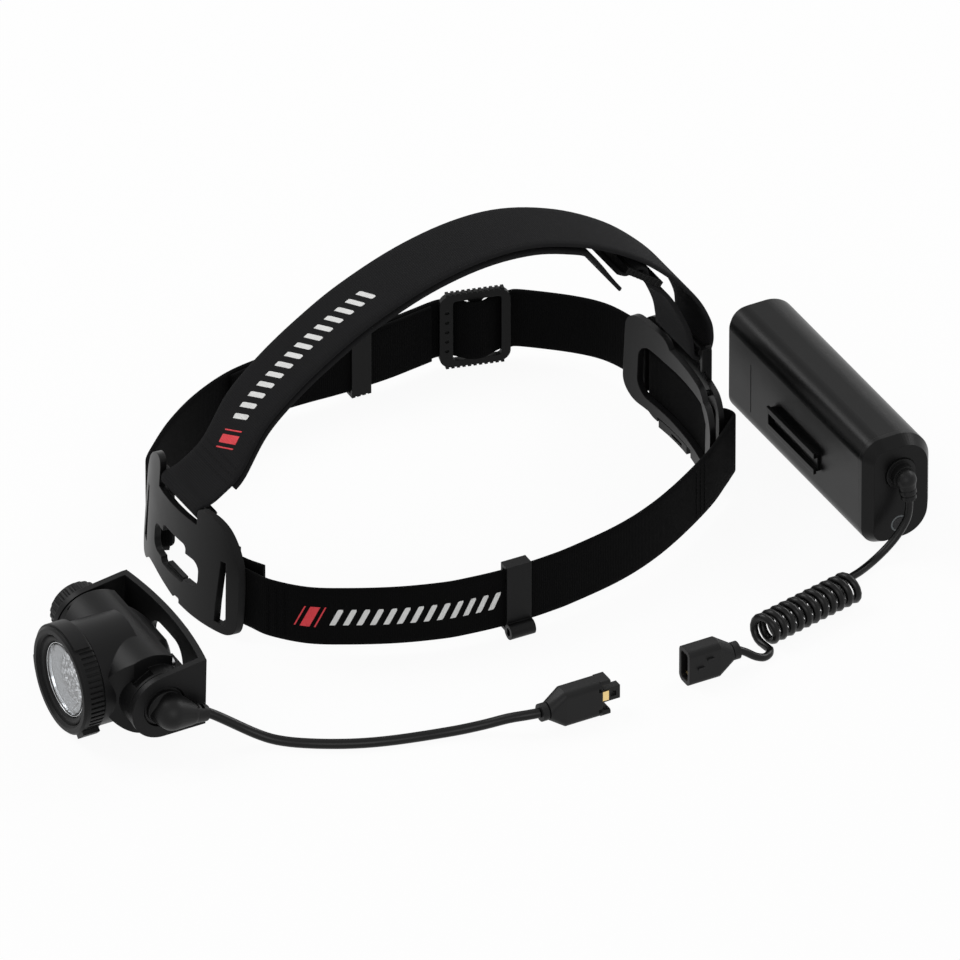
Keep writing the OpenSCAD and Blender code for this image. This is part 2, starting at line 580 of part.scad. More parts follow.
// Slider on the far side: a frame with ribbed edges; the strap weaves behind its end bars and over its middle bar
slider_l = 27;
slider_h = 31.6;
slider_t = 2.4;
module slider_plan() difference() {
    union() {
        rounded(slider_l, slider_h, 4.5);
        for (k = [-5 : 5], s = [-1, 1]) translate([k * 2.1, s * slider_h / 2]) square([1.2, 1.2], center = true);
    }
    for (w = [[-8.4, -2.2], [2.6, 10]]) window(w[0], w[1], -strap_h / 2 - 0.6, strap_h / 2 + 0.6, 1.2);
}
module strap_slider() color("#242424") placed() translate([slider_at[0], slider_at[1], strap_z + strap_h / 2])
    rotate([0, 0, slider_turn]) rotate([90, 0, 0]) difference() {
        translate([0, 0, -slider_t / 2]) linear_extrude(slider_t) slider_plan();
        // row of dimples on the wide end bar
        for (k = [-2 : 2]) translate([-slider_l / 2 + 2.8, k * 4.2, slider_t / 2 - 0.6]) cylinder(r = 0.8, h = 2);
    }
// Keeper round both layers
keeper_at = [-83.6, 14];
keeper_w = 2 * strap_t + 3 * fit;
keeper_t = 1.4;
module strap_keeper() color("#222222") placed() translate([keeper_at[0], keeper_at[1], strap_z + strap_h / 2])
    rotate([0, 0, 89]) difference() {
        translate([-4, -keeper_w / 2 - keeper_t, -strap_h / 2 - fit - keeper_t]) cube([8, keeper_w + 2 * keeper_t, strap_h + 2 * (fit + keeper_t)]);
        translate([-6, -keeper_w / 2 - 0.1, -strap_h / 2 - fit]) cube([12, keeper_w + 0.2, strap_h + 2 * fit]);
        for (k = [-1 : 1]) translate([k * 2.2 - 0.4, -10, -strap_h / 2 - fit - keeper_t - 1]) cube([0.8, 20, 1.4]);
    }

// The top strap's slider: its middle and its heading over the crown; a point on it by distance and towards the outside
top_slider_at = [79.6, 90.1];
top_slider_turn = -36.6;
function on_top_slider(along, outward) = top_slider_at + along * [cos(top_slider_turn), sin(top_slider_turn)]
    + outward * [-sin(top_slider_turn), cos(top_slider_turn)];
// Top strap seen from the near side: height over distance along Y
top_path = concat(
    [[-96.5, 41.8], [-99.3, 40.6], [-102.1, 40.5], [-104, 42.1], [-104.1, 44.5], [-102.5, 45.9], [-99.5, 46.4]],
    [[-95, 48.8], [-87, 55.4], [-77, 71.6], [-63.5, 84.2], [-48, 95], [-31, 104.4], [-8, 113], [15, 117.2],
        [36, 116.2], [58, 109], [78, 97.4], [93, 84], [103, 71.4], [108.4, 60.4], [109.6, 53.6]],
    [[109.1, 49], [107.5, 46], [104.6, 45], [101.9, 46.8], [101.4, 50.6], [100, 58], [95.6, 68.4]],
    [for (p = [[17, -4], [12, -3.2], [8, -2.6], [5.6, -2], [3.7, 0], [1.6, 2], [0, 2.4], [-1.6, 2], [-3.6, 0], [-5.6, -2],
        [-7.6, -2.5], [-9.8, -2.7]])
        on_top_slider(p[0], p[1])]);
module across_x(w) translate([-w / 2, 0, 0]) along_x(w) children();
module top_strap_outer() color("#2a2a2c") placed() across_x(top_w) ribbon(curve(top_path, 3), -strap_t / 2, strap_t / 2);
// Returned layer, whose loose end hangs at the slider
inner_path = [[-89, 49.6], [-85, 54], [-75.6, 69.6], [-62.4, 81.8], [-47, 92.4], [-30.2, 101.6],
    [-7.5, 110.2], [15, 114.2], [35.4, 113.2], [52, 108.1], [58.4, 104.6], [62.4, 99.4], [66.2, 93.4], [68.8, 89.4], [71.2, 86]];
module top_strap_inner() color("#252527") placed() across_x(top_w) ribbon(curve(inner_path, 3), -strap_t / 2, strap_t / 2);
// Slider of the top strap, with its bars across the strap
module top_slider() color("#242424") placed() translate([0, top_slider_at[0], top_slider_at[1]])
    rotate([top_slider_turn, 0, 0]) difference() {
        translate([-top_w / 2 - 2.4, -9, -1.2]) cube([top_w + 4.8, 18, 2.4]);
        for (y = [[-6.6, 5.6], [0.9, 5.7]]) translate([-top_w / 2 - 0.4, y[0], -2]) cube([top_w + 0.8, y[1], 4]);
        for (k = [-4 : 4], s = [-1, 1]) translate([s * (top_w / 2 + 2.6) - 0.5, k * 1.9 - 0.4, -2]) cube([1, 0.8, 4]);
    }

// Clip that wraps the head strap on the near side, with a hook below for the lead
clip_turn = -1.2;            // where it sits on the near arc
clip_at = clip_arc_at + clip_arc_r * [cos(clip_turn), sin(clip_turn)];
clip_l = 10;
clip_t = 1.4;
module clip_side() difference() {
    union() {
        // wrap round the strap, open at the back below the lip
        translate([-strap_t / 2 - fit - clip_t, strap_z - fit - clip_t]) square([strap_t + 2 * fit + 2 * clip_t, strap_h + 2 * fit + 2 * clip_t]);
        // hook
        difference() {
            translate([strap_t / 2 + fit + clip_t + 0.8, 3.2]) circle(r = 3);
            translate([strap_t / 2 + fit + clip_t + 0.8, 3.2]) circle(r = 1.6);
        }
    }
    translate([-strap_t / 2 - fit, strap_z - fit]) square([strap_t + 2 * fit, strap_h + 2 * fit]);
    translate([-strap_t / 2 - fit - clip_t - 1, strap_z + 4]) square([clip_t + 1.5, strap_h - 9]);
}
module cable_clip() color("#303030") placed() translate([clip_at[0], clip_at[1], 0]) rotate([0, 0, clip_turn])
    translate([0, -clip_l / 2, 0]) along_y(clip_l) clip_side();

// ---- battery box: flat side at box_y, lead end at box_x ----

box_r = 8;                   // edges of the flat side
belly_r = 13;                // rounder edges of the outer side
case_l = box_l - cap_l;
far_x = box_x - box_l;
// Section of the box in Y and Z, drawn in by an inset
module box_section(inset = 0) hull() {
    for (z = [box_r, box_h - box_r]) translate([box_r, z]) circle(r = box_r - inset);
    for (z = [belly_r, box_h - belly_r]) translate([box_t - belly_r, z]) circle(r = belly_r - inset);
}
module exact_section(inset = 0) {
    translate([box_r, inset]) square([box_t - box_r - belly_r, box_h - 2 * inset]);
    translate([inset, box_r]) square([box_r, box_h - 2 * box_r]);
    translate([box_t - belly_r, belly_r]) square([belly_r - inset, box_h - 2 * belly_r]);
    for (z = [box_r, box_h - box_r]) translate([box_r, z]) circle(r = box_r - inset);
    for (z = [belly_r, box_h - belly_r]) translate([box_t - belly_r, z]) circle(r = belly_r - inset);
}
module at_box(x = 0) placed() translate([x, box_y, 0]) children();
port_y = box_t / 2;
port_z = box_h / 2;
rail_x0 = 24;
rail_z = 14;
rail_h = 9;
far_wall = 2.4;
module battery_case() color("#1e1e1e") at_box() difference() {
    union() {
        translate([far_x + 2, 0, 0]) along_x(case_l - 2) exact_section();
        translate([far_x, 0, 0]) along_x(2.5) exact_section(1.6);
    }
    translate([far_x + far_wall, 0, 0]) along_x(case_l) exact_section(box_wall);
    // recess and mouth of the charging port
    translate([far_x - 1, port_y, port_z]) along_x(2) rounded(13, 24, 4);
    translate([far_x - 1, port_y, port_z]) along_x(6) rounded(3.6, 9.4, 1.7);
    // groove beside the port cover
    translate([7.5, -1, 10]) cube([0.5, 1.5, 21]);
}
module mounting_rail() color("#1b1b1b") at_box() difference() {
    translate([rail_x0, -2.6, rail_z]) cube([rail_l, 2.6, rail_h]);
    translate([rail_x0 + 1.6, -3, rail_z + 2.2]) cube([rail_l, 2.0, rail_h - 4.4]);
    translate([rail_x0 - 1, -1.4, rail_z - 1]) cube([rail_l + 2, 1.4, 2]);
    translate([rail_x0 - 1, -1.4, rail_z + rail_h - 1]) cube([rail_l + 2, 1.4, 2]);
}
cap_wall = 2.2;
gland_y = 13.7;
gland_z = 31;
button_y = 13.5;
button_z = 8.6;
button_r = 2.6;
module end_cap() color("#222222") at_box(box_x - cap_l) difference() {
    union() {
        along_x(2) exact_section();
        hull() {
            translate([1.9, 0, 0]) along_x(0.1) box_section();
            translate([cap_l - 0.1, 0, 0]) along_x(0.1) box_section(2.8);
        }
        translate([-3, 0, 0]) along_x(3.5) exact_section(box_wall + 0.1);
    }
    translate([-4, 0, 0]) along_x(4 + cap_l - cap_wall) exact_section(box_wall + 3.4);
    translate([-2.3, 0, 0]) along_x(1.4) difference() {
        exact_section();
        exact_section(box_wall + 0.9);
    }
    translate([-10, gland_y, gland_z]) rod_x(3.6, 30);
    translate([cap_l - 0.8, gland_y, gland_z]) rod_x(6.2, 5);
    translate([-10, button_y, button_z]) rod_x(button_r + 0.9, 30);
}
module cap_seal() color("#101010") at_box(box_x - cap_l - 2.2) along_x(1.2) difference() {
    exact_section(box_wall + 0.02);
    exact_section(box_wall + 0.9);
}
module charge_cover() color("#151515") at_box(far_x) difference() {
    union() {
        translate([0.2, port_y, port_z]) along_x(0.8) rounded(12.4, 23.4, 3.7);
        translate([0.9, port_y, port_z]) along_x(1.2) rounded(3.2, 9, 1.5);
    }
    translate([-0.1, port_y - 3, port_z - 10.6]) cube([0.6, 6, 1.6]);
}
module charge_socket() color("#b9b9b9") at_box(far_x + far_wall + 0.1) difference() {
    translate([0, port_y, port_z]) along_x(7) rounded(3.3, 9.1, 1.6);
    translate([-1, port_y, port_z]) along_x(7) rounded(2.5, 8.3, 1.2);
}
board_x = far_x + far_wall + 0.4;
module charge_board() color("#1e5a36") at_box(board_x) translate([0, port_y + 1.75, 5]) cube([9, 1.2, box_h - 10]);
cell_y = box_t / 2 + 0.6;
cell_x0 = board_x + 10.6;
module battery_cells() color("#3f6f4a") at_box(cell_x0) for (s = [-1, 1])
    translate([0, cell_y, box_h / 2 + s * (cell_r + 0.2)]) {
        rod_x(cell_r, cell_l);
        translate([s > 0 ? -0.5 : cell_l, 0, 0]) rod_x(3, 0.5);
    }
module cell_carrier() color("#2e2e2e") at_box(cell_x0 + 8) difference() {
    union() for (x = [0, cell_l - 22]) translate([x, box_wall + 0.1, box_h / 2 - 8]) cube([6, box_t - 2 * box_wall - 0.2, 16]);
    for (s = [-1, 1]) translate([-1, cell_y, box_h / 2 + s * (cell_r + 0.2)]) rod_x(cell_r + 0.1, cell_l);
}
module contact_strips() color("#c6c6c0") at_box(0) {
    translate([cell_x0 - 0.9, cell_y - 3, box_h / 2 - cell_r]) cube([0.35, 6, 2 * cell_r]);
    translate([cell_x0 + cell_l + 0.55, cell_y - 3, box_h / 2 - cell_r]) cube([0.35, 6, 2 * cell_r]);
}
module status_button() color("#4a4a4a") at_box(box_x) translate([0, button_y, button_z]) {
    translate([-2.6, 0, 0]) rod_x(button_r, 2.6);
    translate([-3.2, 0, 0]) rod_x(button_r + 0.8, 0.7);
}
module status_light() color("#dfe8ea") at_box(box_x) translate([-2.1, button_y, button_z]) difference() {
    rod_x(button_r + 0.85, 2.0);
    translate([-1, 0, 0]) rod_x(button_r + 0.1, 4);
}

// ---- battery lead: boot, free stretches, curly part and plug ----

bat_knee = [4.4, gland_y, gland_z - 0.4];
bat_tip = [5.9, 14.2, 22.4];
bat_neck_l = norm(bat_tip - bat_knee);
module battery_boot() color("#161616") at_box(box_x) {
    translate([-0.8, gland_y, gland_z]) rod_x(6, 1.4);
    translate([0.2, gland_y, gland_z - 0.2]) rod_x(4.6, bat_knee[0] - 1);
    translate(bat_knee) sphere(r = 3.9);
    aimed(bat_knee, bat_tip) {
        cylinder(r1 = 3.8, r2 = cord_d / 2 + 0.8, h = bat_neck_l);
        // rings round the neck
        for (k = [0.48, 0.76]) translate([0, 0, k * bat_neck_l]) cylinder(r = 3.9 - 1.3 * k, h = 1.3);
    }
}
cord_r = cord_d / 2;
lamp_cord_path = [[89, -142.8, 14.5], [90.9, -139, 12.6], [93, -134.8, 10], [95.3, -130.2, 7], [98.1, -125.7, 4.4],
    [101.6, -121, 2.6], [105.6, -115.8, 1.95], [109.8, -109.9, 1.9], [113.6, -103.6, 1.9], [117.1, -96.8, 1.9],
    [120.1, -89.6, 1.9], [122.6, -81.9, 1.9], [124.7, -73.9, 1.9], [126.6, -65.6, 1.9], [128.8, -57.3, 2.3],
    [131.6, -49.2, 3.6], [135.2, -41.6, 5.9], [138.3, -35.6, 7.2], [139.6, -31, 7.5]];
module lamp_cord() color("#141414") placed() tube(lamp_cord_path, lamp_cord_d / 2, [0, 0, 1]);
upper_path = [[box_x + 5.9, box_y + 14.2, 22.4], [102.4, 143.2, 19], [102.7, 142.2, 15.2], [102.9, 140, 11.6],
    [103, 137, 8], [103.1, 133.6, 5], [103.5, 130, 2.8], [104.5, 126.5, 1.7], [106.1, 123, 1.5], [107.7, 119.4, 1.5],
    [109, 115.6, 1.5], [110.5, 112.1, 1.5], [112.6, 109.5, 1.5], [115, 108.1, 1.5], [117.8, 108, 1.5]];
module battery_cord_upper() color("#141414") placed() tube(upper_path, cord_r, [0.93, 0.36, 0.05]);
coil_start = [120.7, 108.7];
coil_turn = -77;             // heading of the curly part's axis, from +X
coil_rings = 8;
coil_mid_r = coil_d / 2 - cord_r;
coil_pitch = coil_l / coil_turns;
// Middle line of the curly part, along +X, with a straight end of one diameter on each side
coil_line = concat([[0, -cord_d, cord_r]],
    [for (k = [0 : coil_turns * coil_rings]) let (a = 360 * k / coil_rings)
        [coil_pitch * k / coil_rings, coil_mid_r * sin(a), coil_d / 2 - coil_mid_r * cos(a)]],
    [[coil_l, cord_d, cord_r]]);
coil_gap = min([for (i = [1 : len(coil_line) - coil_rings - 3], j = [-1 : 1])
    norm(coil_line[i + coil_rings + j] - coil_line[i])]) - cord_d;
echo(least_gap_of_curly_lead = coil_gap, length_of_curly_lead = travel(coil_line));
module battery_coil() color("#141414") placed() translate([coil_start[0], coil_start[1], 0]) rotate([0, 0, coil_turn])
    swept([for (i = [0 : len(coil_line) - 1])
        let (h = heading(coil_line, i), u = unit(cross(h, [1, 0, 0])), v = cross(u, h))
            for (k = [0 : 5]) coil_line[i] + cord_r * (cos(60 * k) * u + sin(60 * k) * v)], len(coil_line), 6);
lower_path = [[133.52, 66.4, 1.5], [136, 66.5, 1.5], [138.3, 65, 1.5], [139.7, 62.1, 1.7], [139.7, 58.6, 3.2],
    [138.8, 54.9, 5.8], [138.1, 51.8, 7.5]];
module battery_cord_lower() color("#141414") placed() tube(curve(lower_path, 2), cord_r, [0, 0, 1]);

echo(length_of_lamp_lead = travel(lamp_cord_path),
    length_of_battery_lead = travel(upper_path) + travel(coil_line) + travel(lower_path));
// Body of a plug along -Y from its neck at the origin, resting on one narrow side
module plug_body(l) {
    translate([0, -2.6, 0]) rod_y(3.4, 2.6);
    translate([0, -3.6, 0]) rod_y(2.6, 1.2);
    hull() {
        translate([0, -3.2, 0]) rod_y(3.6, 0.2);
        translate([0, -9.4, 0]) along_y(0.4) rounded(plug_t, plug_h, 2.4);
    }
    translate([0, -l, 0]) along_y(l - 9) rounded(plug_t, plug_h, 2.4);
}
bat_plug_l = 22;
module battery_plug() color("#191919") placed() translate([138.1, 51.8, plug_h / 2]) difference() {
    union() {
        plug_body(bat_plug_l);
        // latch bumps
        for (p = [[-14.6, 2.2], [-18.6, -0.6]]) translate([plug_t / 2 - 0.3, p[0], p[1]]) cube([0.9, 2.6, 0.9]);
    }
    translate([0, -bat_plug_l - 1, 0]) along_y(10) rounded(plug_t - 3, plug_h - 3.4, 1.2);
}
module battery_plug_contacts() color("#c9a24a") placed() translate([138.1, 51.8 - bat_plug_l + 1.5, plug_h / 2])
    for (z = [-4.6, 3.6]) translate([-1.4, 0, z]) cube([2.8, 7.5, 1]);
lamp_plug_l = 24;
module lamp_plug() color("#191919") placed() translate([139.6, -31, plug_h / 2]) mirror([0, 1, 0]) difference() {
    union() {
        plug_body(lamp_plug_l);
        // upper and lower jaws, and the tongue with its square hole
        for (s = [-1, 1]) translate([0, -lamp_plug_l - 3.6, s * (plug_h / 2 - 1.1)]) along_y(4) rounded(plug_t - 1.4, 2.2, 0.8);
        difference() {
            translate([-1.6, -lamp_plug_l - 8.4, -2.8]) cube([3.2, 8.6, 5.6]);
            translate([-4, -lamp_plug_l - 6.8, -1.2]) cube([8, 2.4, 2.4]);
        }
    }
    translate([-plug_t, -lamp_plug_l - 0.01, -plug_h / 2 + 2.2]) cube([2 * plug_t, 1.6, 1.6]);
    translate([-plug_t, -lamp_plug_l - 0.01, plug_h / 2 - 3.8]) cube([2 * plug_t, 1.6, 1.6]);
}
module lamp_plug_contacts() color("#c9a24a") placed() translate([139.6, -31 + lamp_plug_l, plug_h / 2])
    for (s = [-1, 1]) translate([s > 0 ? 1.6 : -2, 0, -2]) cube([0.4, 3.6, 4]);

lamp_cradle();
pivot_washers();
lamp_boot();
lamp_cord();
lamp_plug();
lamp_plug_contacts();
head_housing();
head_rear_cover();
head_seal();
head_screws();
focus_ring();
lens_carrier();
lens();
lens_seal();
led_emitter();
led_board();
heat_sink();
driver_board();
dimmer_switch();
dimmer_knob();
dimmer_shaft();
dimmer_seal();
front_plate();
rear_plate();
rear_frame();
rear_latch();
head_strap();
head_strap_return();
strap_slider();
strap_keeper();
top_strap_outer();
top_strap_inner();
top_slider();
cable_clip();
battery_case();
end_cap();
cap_seal();
mounting_rail();
charge_cover();
charge_socket();
charge_board();
battery_cells();
cell_carrier();
contact_strips();
status_button();
status_light();
battery_boot();
battery_cord_upper();
battery_coil();
battery_cord_lower();
battery_plug();
battery_plug_contacts();
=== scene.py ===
"""Looks of the cap lamp: camera, leads, webbing, optics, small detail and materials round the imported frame."""
import json
import math

import bmesh
import bpy
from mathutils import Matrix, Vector

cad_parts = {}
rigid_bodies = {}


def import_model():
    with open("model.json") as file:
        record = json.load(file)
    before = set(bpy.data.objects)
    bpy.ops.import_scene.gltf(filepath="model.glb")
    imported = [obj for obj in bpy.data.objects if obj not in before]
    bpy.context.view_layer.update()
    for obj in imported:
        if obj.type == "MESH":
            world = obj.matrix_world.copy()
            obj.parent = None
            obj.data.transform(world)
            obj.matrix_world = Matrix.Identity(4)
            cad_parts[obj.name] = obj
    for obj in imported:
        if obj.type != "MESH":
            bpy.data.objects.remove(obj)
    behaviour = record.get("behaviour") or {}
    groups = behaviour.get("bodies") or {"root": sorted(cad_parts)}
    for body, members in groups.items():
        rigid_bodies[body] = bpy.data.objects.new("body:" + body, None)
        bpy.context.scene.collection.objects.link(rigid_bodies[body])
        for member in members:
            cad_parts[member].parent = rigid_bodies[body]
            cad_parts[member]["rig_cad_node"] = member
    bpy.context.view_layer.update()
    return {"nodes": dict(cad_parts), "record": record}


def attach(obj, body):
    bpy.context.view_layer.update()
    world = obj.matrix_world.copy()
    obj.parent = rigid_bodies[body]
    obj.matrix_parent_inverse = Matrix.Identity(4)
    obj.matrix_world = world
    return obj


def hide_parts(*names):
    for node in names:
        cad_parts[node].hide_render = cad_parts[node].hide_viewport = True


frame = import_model()
MM = 0.001
CENTRE = Vector((3.775, -13.25))        # where the row frame's origin lies in the part's own layout
scene = bpy.context.scene
scene.view_settings.view_transform = "Standard"


def at(x, y, z=0.0):
    """A point of the part's own layout, in millimetres, as a point of the row frame."""
    return Vector(((x - CENTRE.x) * MM, (y - CENTRE.y) * MM, z * MM))


def link(obj):
    scene.collection.objects.link(obj)
    return obj


def made(name, bm):
    """The piece that a finished bmesh makes, with its normals outward."""
    bmesh.ops.recalc_face_normals(bm, faces=bm.faces)
    mesh = bpy.data.meshes.new(name)
    bm.to_mesh(mesh)
    bm.free()
    return link(bpy.data.objects.new(name, mesh))


# ---------------------------------------------------------------- camera
LENS, SENSOR, FRAME_W = 1200.0, 36.0, 0.3529
TO_CAMERA = Vector((0.7287, -0.3954, 0.5591)).normalized()
LOOK_AT = Vector((-0.017275, 0.04065, 0.0))
camera = link(bpy.data.objects.new("camera", bpy.data.cameras.new("camera")))
camera.data.lens, camera.data.sensor_width = LENS, SENSOR
camera.data.clip_start, camera.data.clip_end = 0.05, 50
camera.location = LOOK_AT + TO_CAMERA * FRAME_W * LENS / SENSOR
camera.rotation_euler = (-TO_CAMERA).to_track_quat("-Z", "Y").to_euler()
scene.camera = camera

# ---------------------------------------------------------------- leads
CORD_R, LAMP_CORD_R = 1.5, 1.9
COIL_D, COIL_TURNS, COIL_L = 13.0, 11, 44.0
COIL_START, COIL_HEADING = (120.7, 108.7), math.radians(-77)
LAMP_ROUTE = [
    (89, -142.8, 14.5), (90.9, -139, 12.6), (93, -134.8, 10), (95.3, -130.2, 7), (98.1, -125.7, 4.4),
    (101.6, -121, 2.6), (105.6, -115.8, 1.95), (109.8, -109.9, 1.9), (113.6, -103.6, 1.9),
    (117.1, -96.8, 1.9), (120.1, -89.6, 1.9), (122.6, -81.9, 1.9), (124.7, -73.9, 1.9),
    (126.6, -65.6, 1.9), (128.8, -57.3, 2.3), (131.6, -49.2, 3.6), (135.2, -41.6, 5.9),
    (138.3, -35.6, 7.2), (139.6, -31, 7.5)]
UPPER_ROUTE = [
    (101.9, 143.5, 22.4), (102.4, 143.2, 19), (102.7, 142.2, 15.2), (102.9, 140, 11.6), (103, 137, 8),
    (103.1, 133.6, 5), (103.5, 130, 2.8), (104.5, 126.5, 1.7), (106.1, 123, 1.5), (107.7, 119.4, 1.5),
    (109, 115.6, 1.5), (110.5, 112.1, 1.5), (112.6, 109.5, 1.5), (115, 108.1, 1.5)]
LOWER_ROUTE = [
    (136, 66.5, 1.5), (138.3, 65, 1.5), (139.7, 62.1, 1.7), (139.7, 58.6, 3.2), (138.8, 54.9, 5.8),
    (138.1, 51.8, 7.5)]


def coil_route(per_turn=16):
    """The curly part's middle line, lying on the surface."""
    mid = COIL_D / 2 - CORD_R
    line = []
    for k in range(COIL_TURNS * per_turn + 1):
        a = 2 * math.pi * k / per_turn
        line.append((COIL_L / COIL_TURNS * k / per_turn, mid * math.sin(a), COIL_D / 2 - mid * math.cos(a)))
    c, s = math.cos(COIL_HEADING), math.sin(COIL_HEADING)
    return [(COIL_START[0] + c * x - s * y, COIL_START[1] + s * x + c * y, z) for x, y, z in line]


def lead(name, route, radius=CORD_R, sides=6):
    """A round lead as one open spline with a round bevel."""
    curve = bpy.data.curves.new(name, "CURVE")
    curve.dimensions = "3D"
    curve.bevel_depth, curve.bevel_resolution, curve.use_fill_caps = 1.0, sides, True
    spline = curve.splines.new("POLY")
    spline.points.add(len(route) - 1)
    for point, place in zip(spline.points, route):
        point.co, point.radius = (*at(*place), 1), radius * MM
    return link(bpy.data.objects.new(name, curve))


def smooth(points, steps):
    """Catmull-Rom curve through points of any dimension, ends held."""
    out = []
    for i in range(len(points) - 1):
        a, b, c, d = (Vector(points[max(0, min(len(points) - 1, j))]) for j in (i - 1, i, i + 1, i + 2))
        for k in range(steps):
            t = k / steps
            square, cube = 2 * a - 5 * b + 4 * c - d, 3 * b - a - 3 * c + d
            out.append(0.5 * (2 * b + (c - a) * t + square * t * t + cube * t ** 3))
    out.append(Vector(points[-1]))
    return out


lamp_route = [tuple(p) for p in smooth(LAMP_ROUTE, 3)]
lamp_lead = lead("lamp_lead", lamp_route, LAMP_CORD_R)
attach(lamp_lead, "lamp_cradle")
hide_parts("lamp_cord")
pack_route = [*[tuple(p) for p in smooth(UPPER_ROUTE, 3)], *coil_route(),
              *[tuple(p) for p in smooth(LOWER_ROUTE, 4)]]
pack_lead = lead("battery_lead", pack_route)
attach(pack_lead, "battery_pack")
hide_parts("battery_cord_upper", "battery_coil", "battery_cord_lower")
nodes = frame["nodes"]

# ---------------------------------------------------------------- materials


class Nodes:
    """A small builder for node trees."""

    def __init__(self, name):
        self.mat = bpy.data.materials.new(name)
        self.mat.use_nodes = True
        self.tree = self.mat.node_tree
        self.shader = self.tree.nodes["Principled BSDF"]

    def add(self, kind, inputs=None, **settings):
        node = self.tree.nodes.new(kind)
        for key, value in settings.items():
            setattr(node, key, value)
        for key, value in (inputs or {}).items():
            self.put(node.inputs[key], value)
        return node

    def put(self, socket, value):
        if isinstance(value, bpy.types.NodeSocket):
            self.tree.links.new(value, socket)
        else:
            socket.default_value = value

    def math(self, op, a, b=0.0, c=0.0, clamp=False):
        node = self.add("ShaderNodeMath", operation=op, use_clamp=clamp)
        for socket, value in zip(node.inputs, (a, b, c)):
            self.put(socket, value)
        return node.outputs[0]

    def ramp(self, fac, stops):
        node = self.add("ShaderNodeValToRGB", {"Fac": fac})
        while len(node.color_ramp.elements) < len(stops):
            node.color_ramp.elements.new(0.5)
        for element, (place, grey) in zip(node.color_ramp.elements, stops):
            element.position = place
            element.color = (grey, grey, grey, 1) if isinstance(grey, (int, float)) else (*grey, 1)
        return node.outputs[0]

    def noise(self, vector, scale, detail=2.0, rough=0.5):
        inputs = {"Vector": vector, "Scale": scale, "Detail": detail, "Roughness": rough}
        return self.add("ShaderNodeTexNoise", inputs).outputs["Fac"]

    def mix(self, fac, a, b):
        node = self.add("ShaderNodeMix", data_type="RGBA")
        self.put(node.inputs["Factor"], fac)
        self.put(node.inputs["A"], a)
        self.put(node.inputs["B"], b)
        return node.outputs["Result"]

    def spread(self, fac, low, high):
        return self.add("ShaderNodeMapRange", {"Value": fac, "To Min": low, "To Max": high}).outputs[0]

    def place(self):
        return self.add("ShaderNodeTexCoord").outputs["Object"]

    def rounded_normal(self, radius):
        return self.add("ShaderNodeBevel", {"Radius": radius}, samples=4).outputs[0]

    def bump(self, height, strength, distance, normal=None):
        inputs = {"Height": height, "Strength": strength, "Distance": distance}
        if normal is not None:
            inputs["Normal"] = normal
        return self.add("ShaderNodeBump", inputs).outputs[0]

    def finish(self, **sockets):
        for key, value in sockets.items():
            self.put(self.shader.inputs[key.replace("_", " ")], value)
        return self.mat


PLASTIC_SHEEN, RUBBER_SHEEN, WEBBING_SHEEN = 0.13, 0.2, 0.04
THREAD, SELVAGE = 0.55, 1.5             # millimetres: spacing of the threads, width of the plain edge


def grey(value):
    return (value, value, value * 1.04, 1)


def plastic(name, value, rough, grain=2600.0, bump=0.35, edge=0.0004, worn=0.35):
    """Moulded plastic: fine spark-eroded grain, patchy sheen and slightly rubbed edges."""
    n = Nodes(name)
    place = n.place()
    normal = n.rounded_normal(edge)
    patches = n.noise(place, 45.0, 4.0)
    rubs = n.noise(place, 900.0, 3.0)
    flat = n.add("ShaderNodeNewGeometry").outputs["Normal"]
    off = n.add("ShaderNodeVectorMath", {0: normal, 1: flat}, operation="DOT_PRODUCT").outputs["Value"]
    rub = n.math("MULTIPLY", n.spread(off, 1.0, 0.0), n.ramp(rubs, [(0.4, 0.0), (0.62, 1.0)]))
    edge_mask = n.math("MULTIPLY", rub, worn * 6, clamp=True)
    base = grey(value)
    low, high = tuple(c * 0.8 for c in base[:3]) + (1,), tuple(c * 1.25 for c in base[:3]) + (1,)
    colour = n.mix(patches, low, high)
    colour = n.mix(edge_mask, colour, tuple(min(1.0, c * 2.2 + 0.02) for c in base[:3]) + (1,))
    grains = n.noise(place, grain, 2.0)
    return n.finish(Base_Color=colour, Roughness=n.spread(patches, rough - 0.07, rough + 0.09),
                    Specular_IOR_Level=PLASTIC_SHEEN, Normal=n.bump(grains, bump, 0.00006, normal))


def rubber(name, value, rough, bump=0.2):
    """Soft moulded rubber with a faint bloom."""
    n = Nodes(name)
    place = n.place()
    bloom = n.noise(place, 120.0, 5.0, 0.6)
    colour = n.mix(bloom, grey(value * 0.75), grey(value * 1.4))
    fine = n.noise(place, 1800.0, 3.0)
    return n.finish(Base_Color=colour, Roughness=n.spread(bloom, rough - 0.08, rough + 0.1),
                    Normal=n.bump(fine, bump, 0.00005, n.rounded_normal(0.0003)),
                    Specular_IOR_Level=RUBBER_SHEEN)


def metal(name, colour, rough, scale=(400.0, 400.0, 400.0), bump=0.15):
    """Bare metal with fine machining marks."""
    n = Nodes(name)
    spots = n.noise(n.place(), 300.0, 3.0)
    stretched = n.add("ShaderNodeMapping", {"Vector": n.place(), "Scale": scale}).outputs[0]
    marks = n.noise(stretched, 12.0, 2.0)
    low = tuple(c * 0.85 for c in colour)
    return n.finish(Base_Color=n.mix(spots, (*low, 1), (*colour, 1)), Metallic=1.0,
                    Roughness=n.spread(marks, rough - 0.05, rough + 0.08),
                    Normal=n.bump(marks, bump, 0.00003, n.rounded_normal(0.0002)))


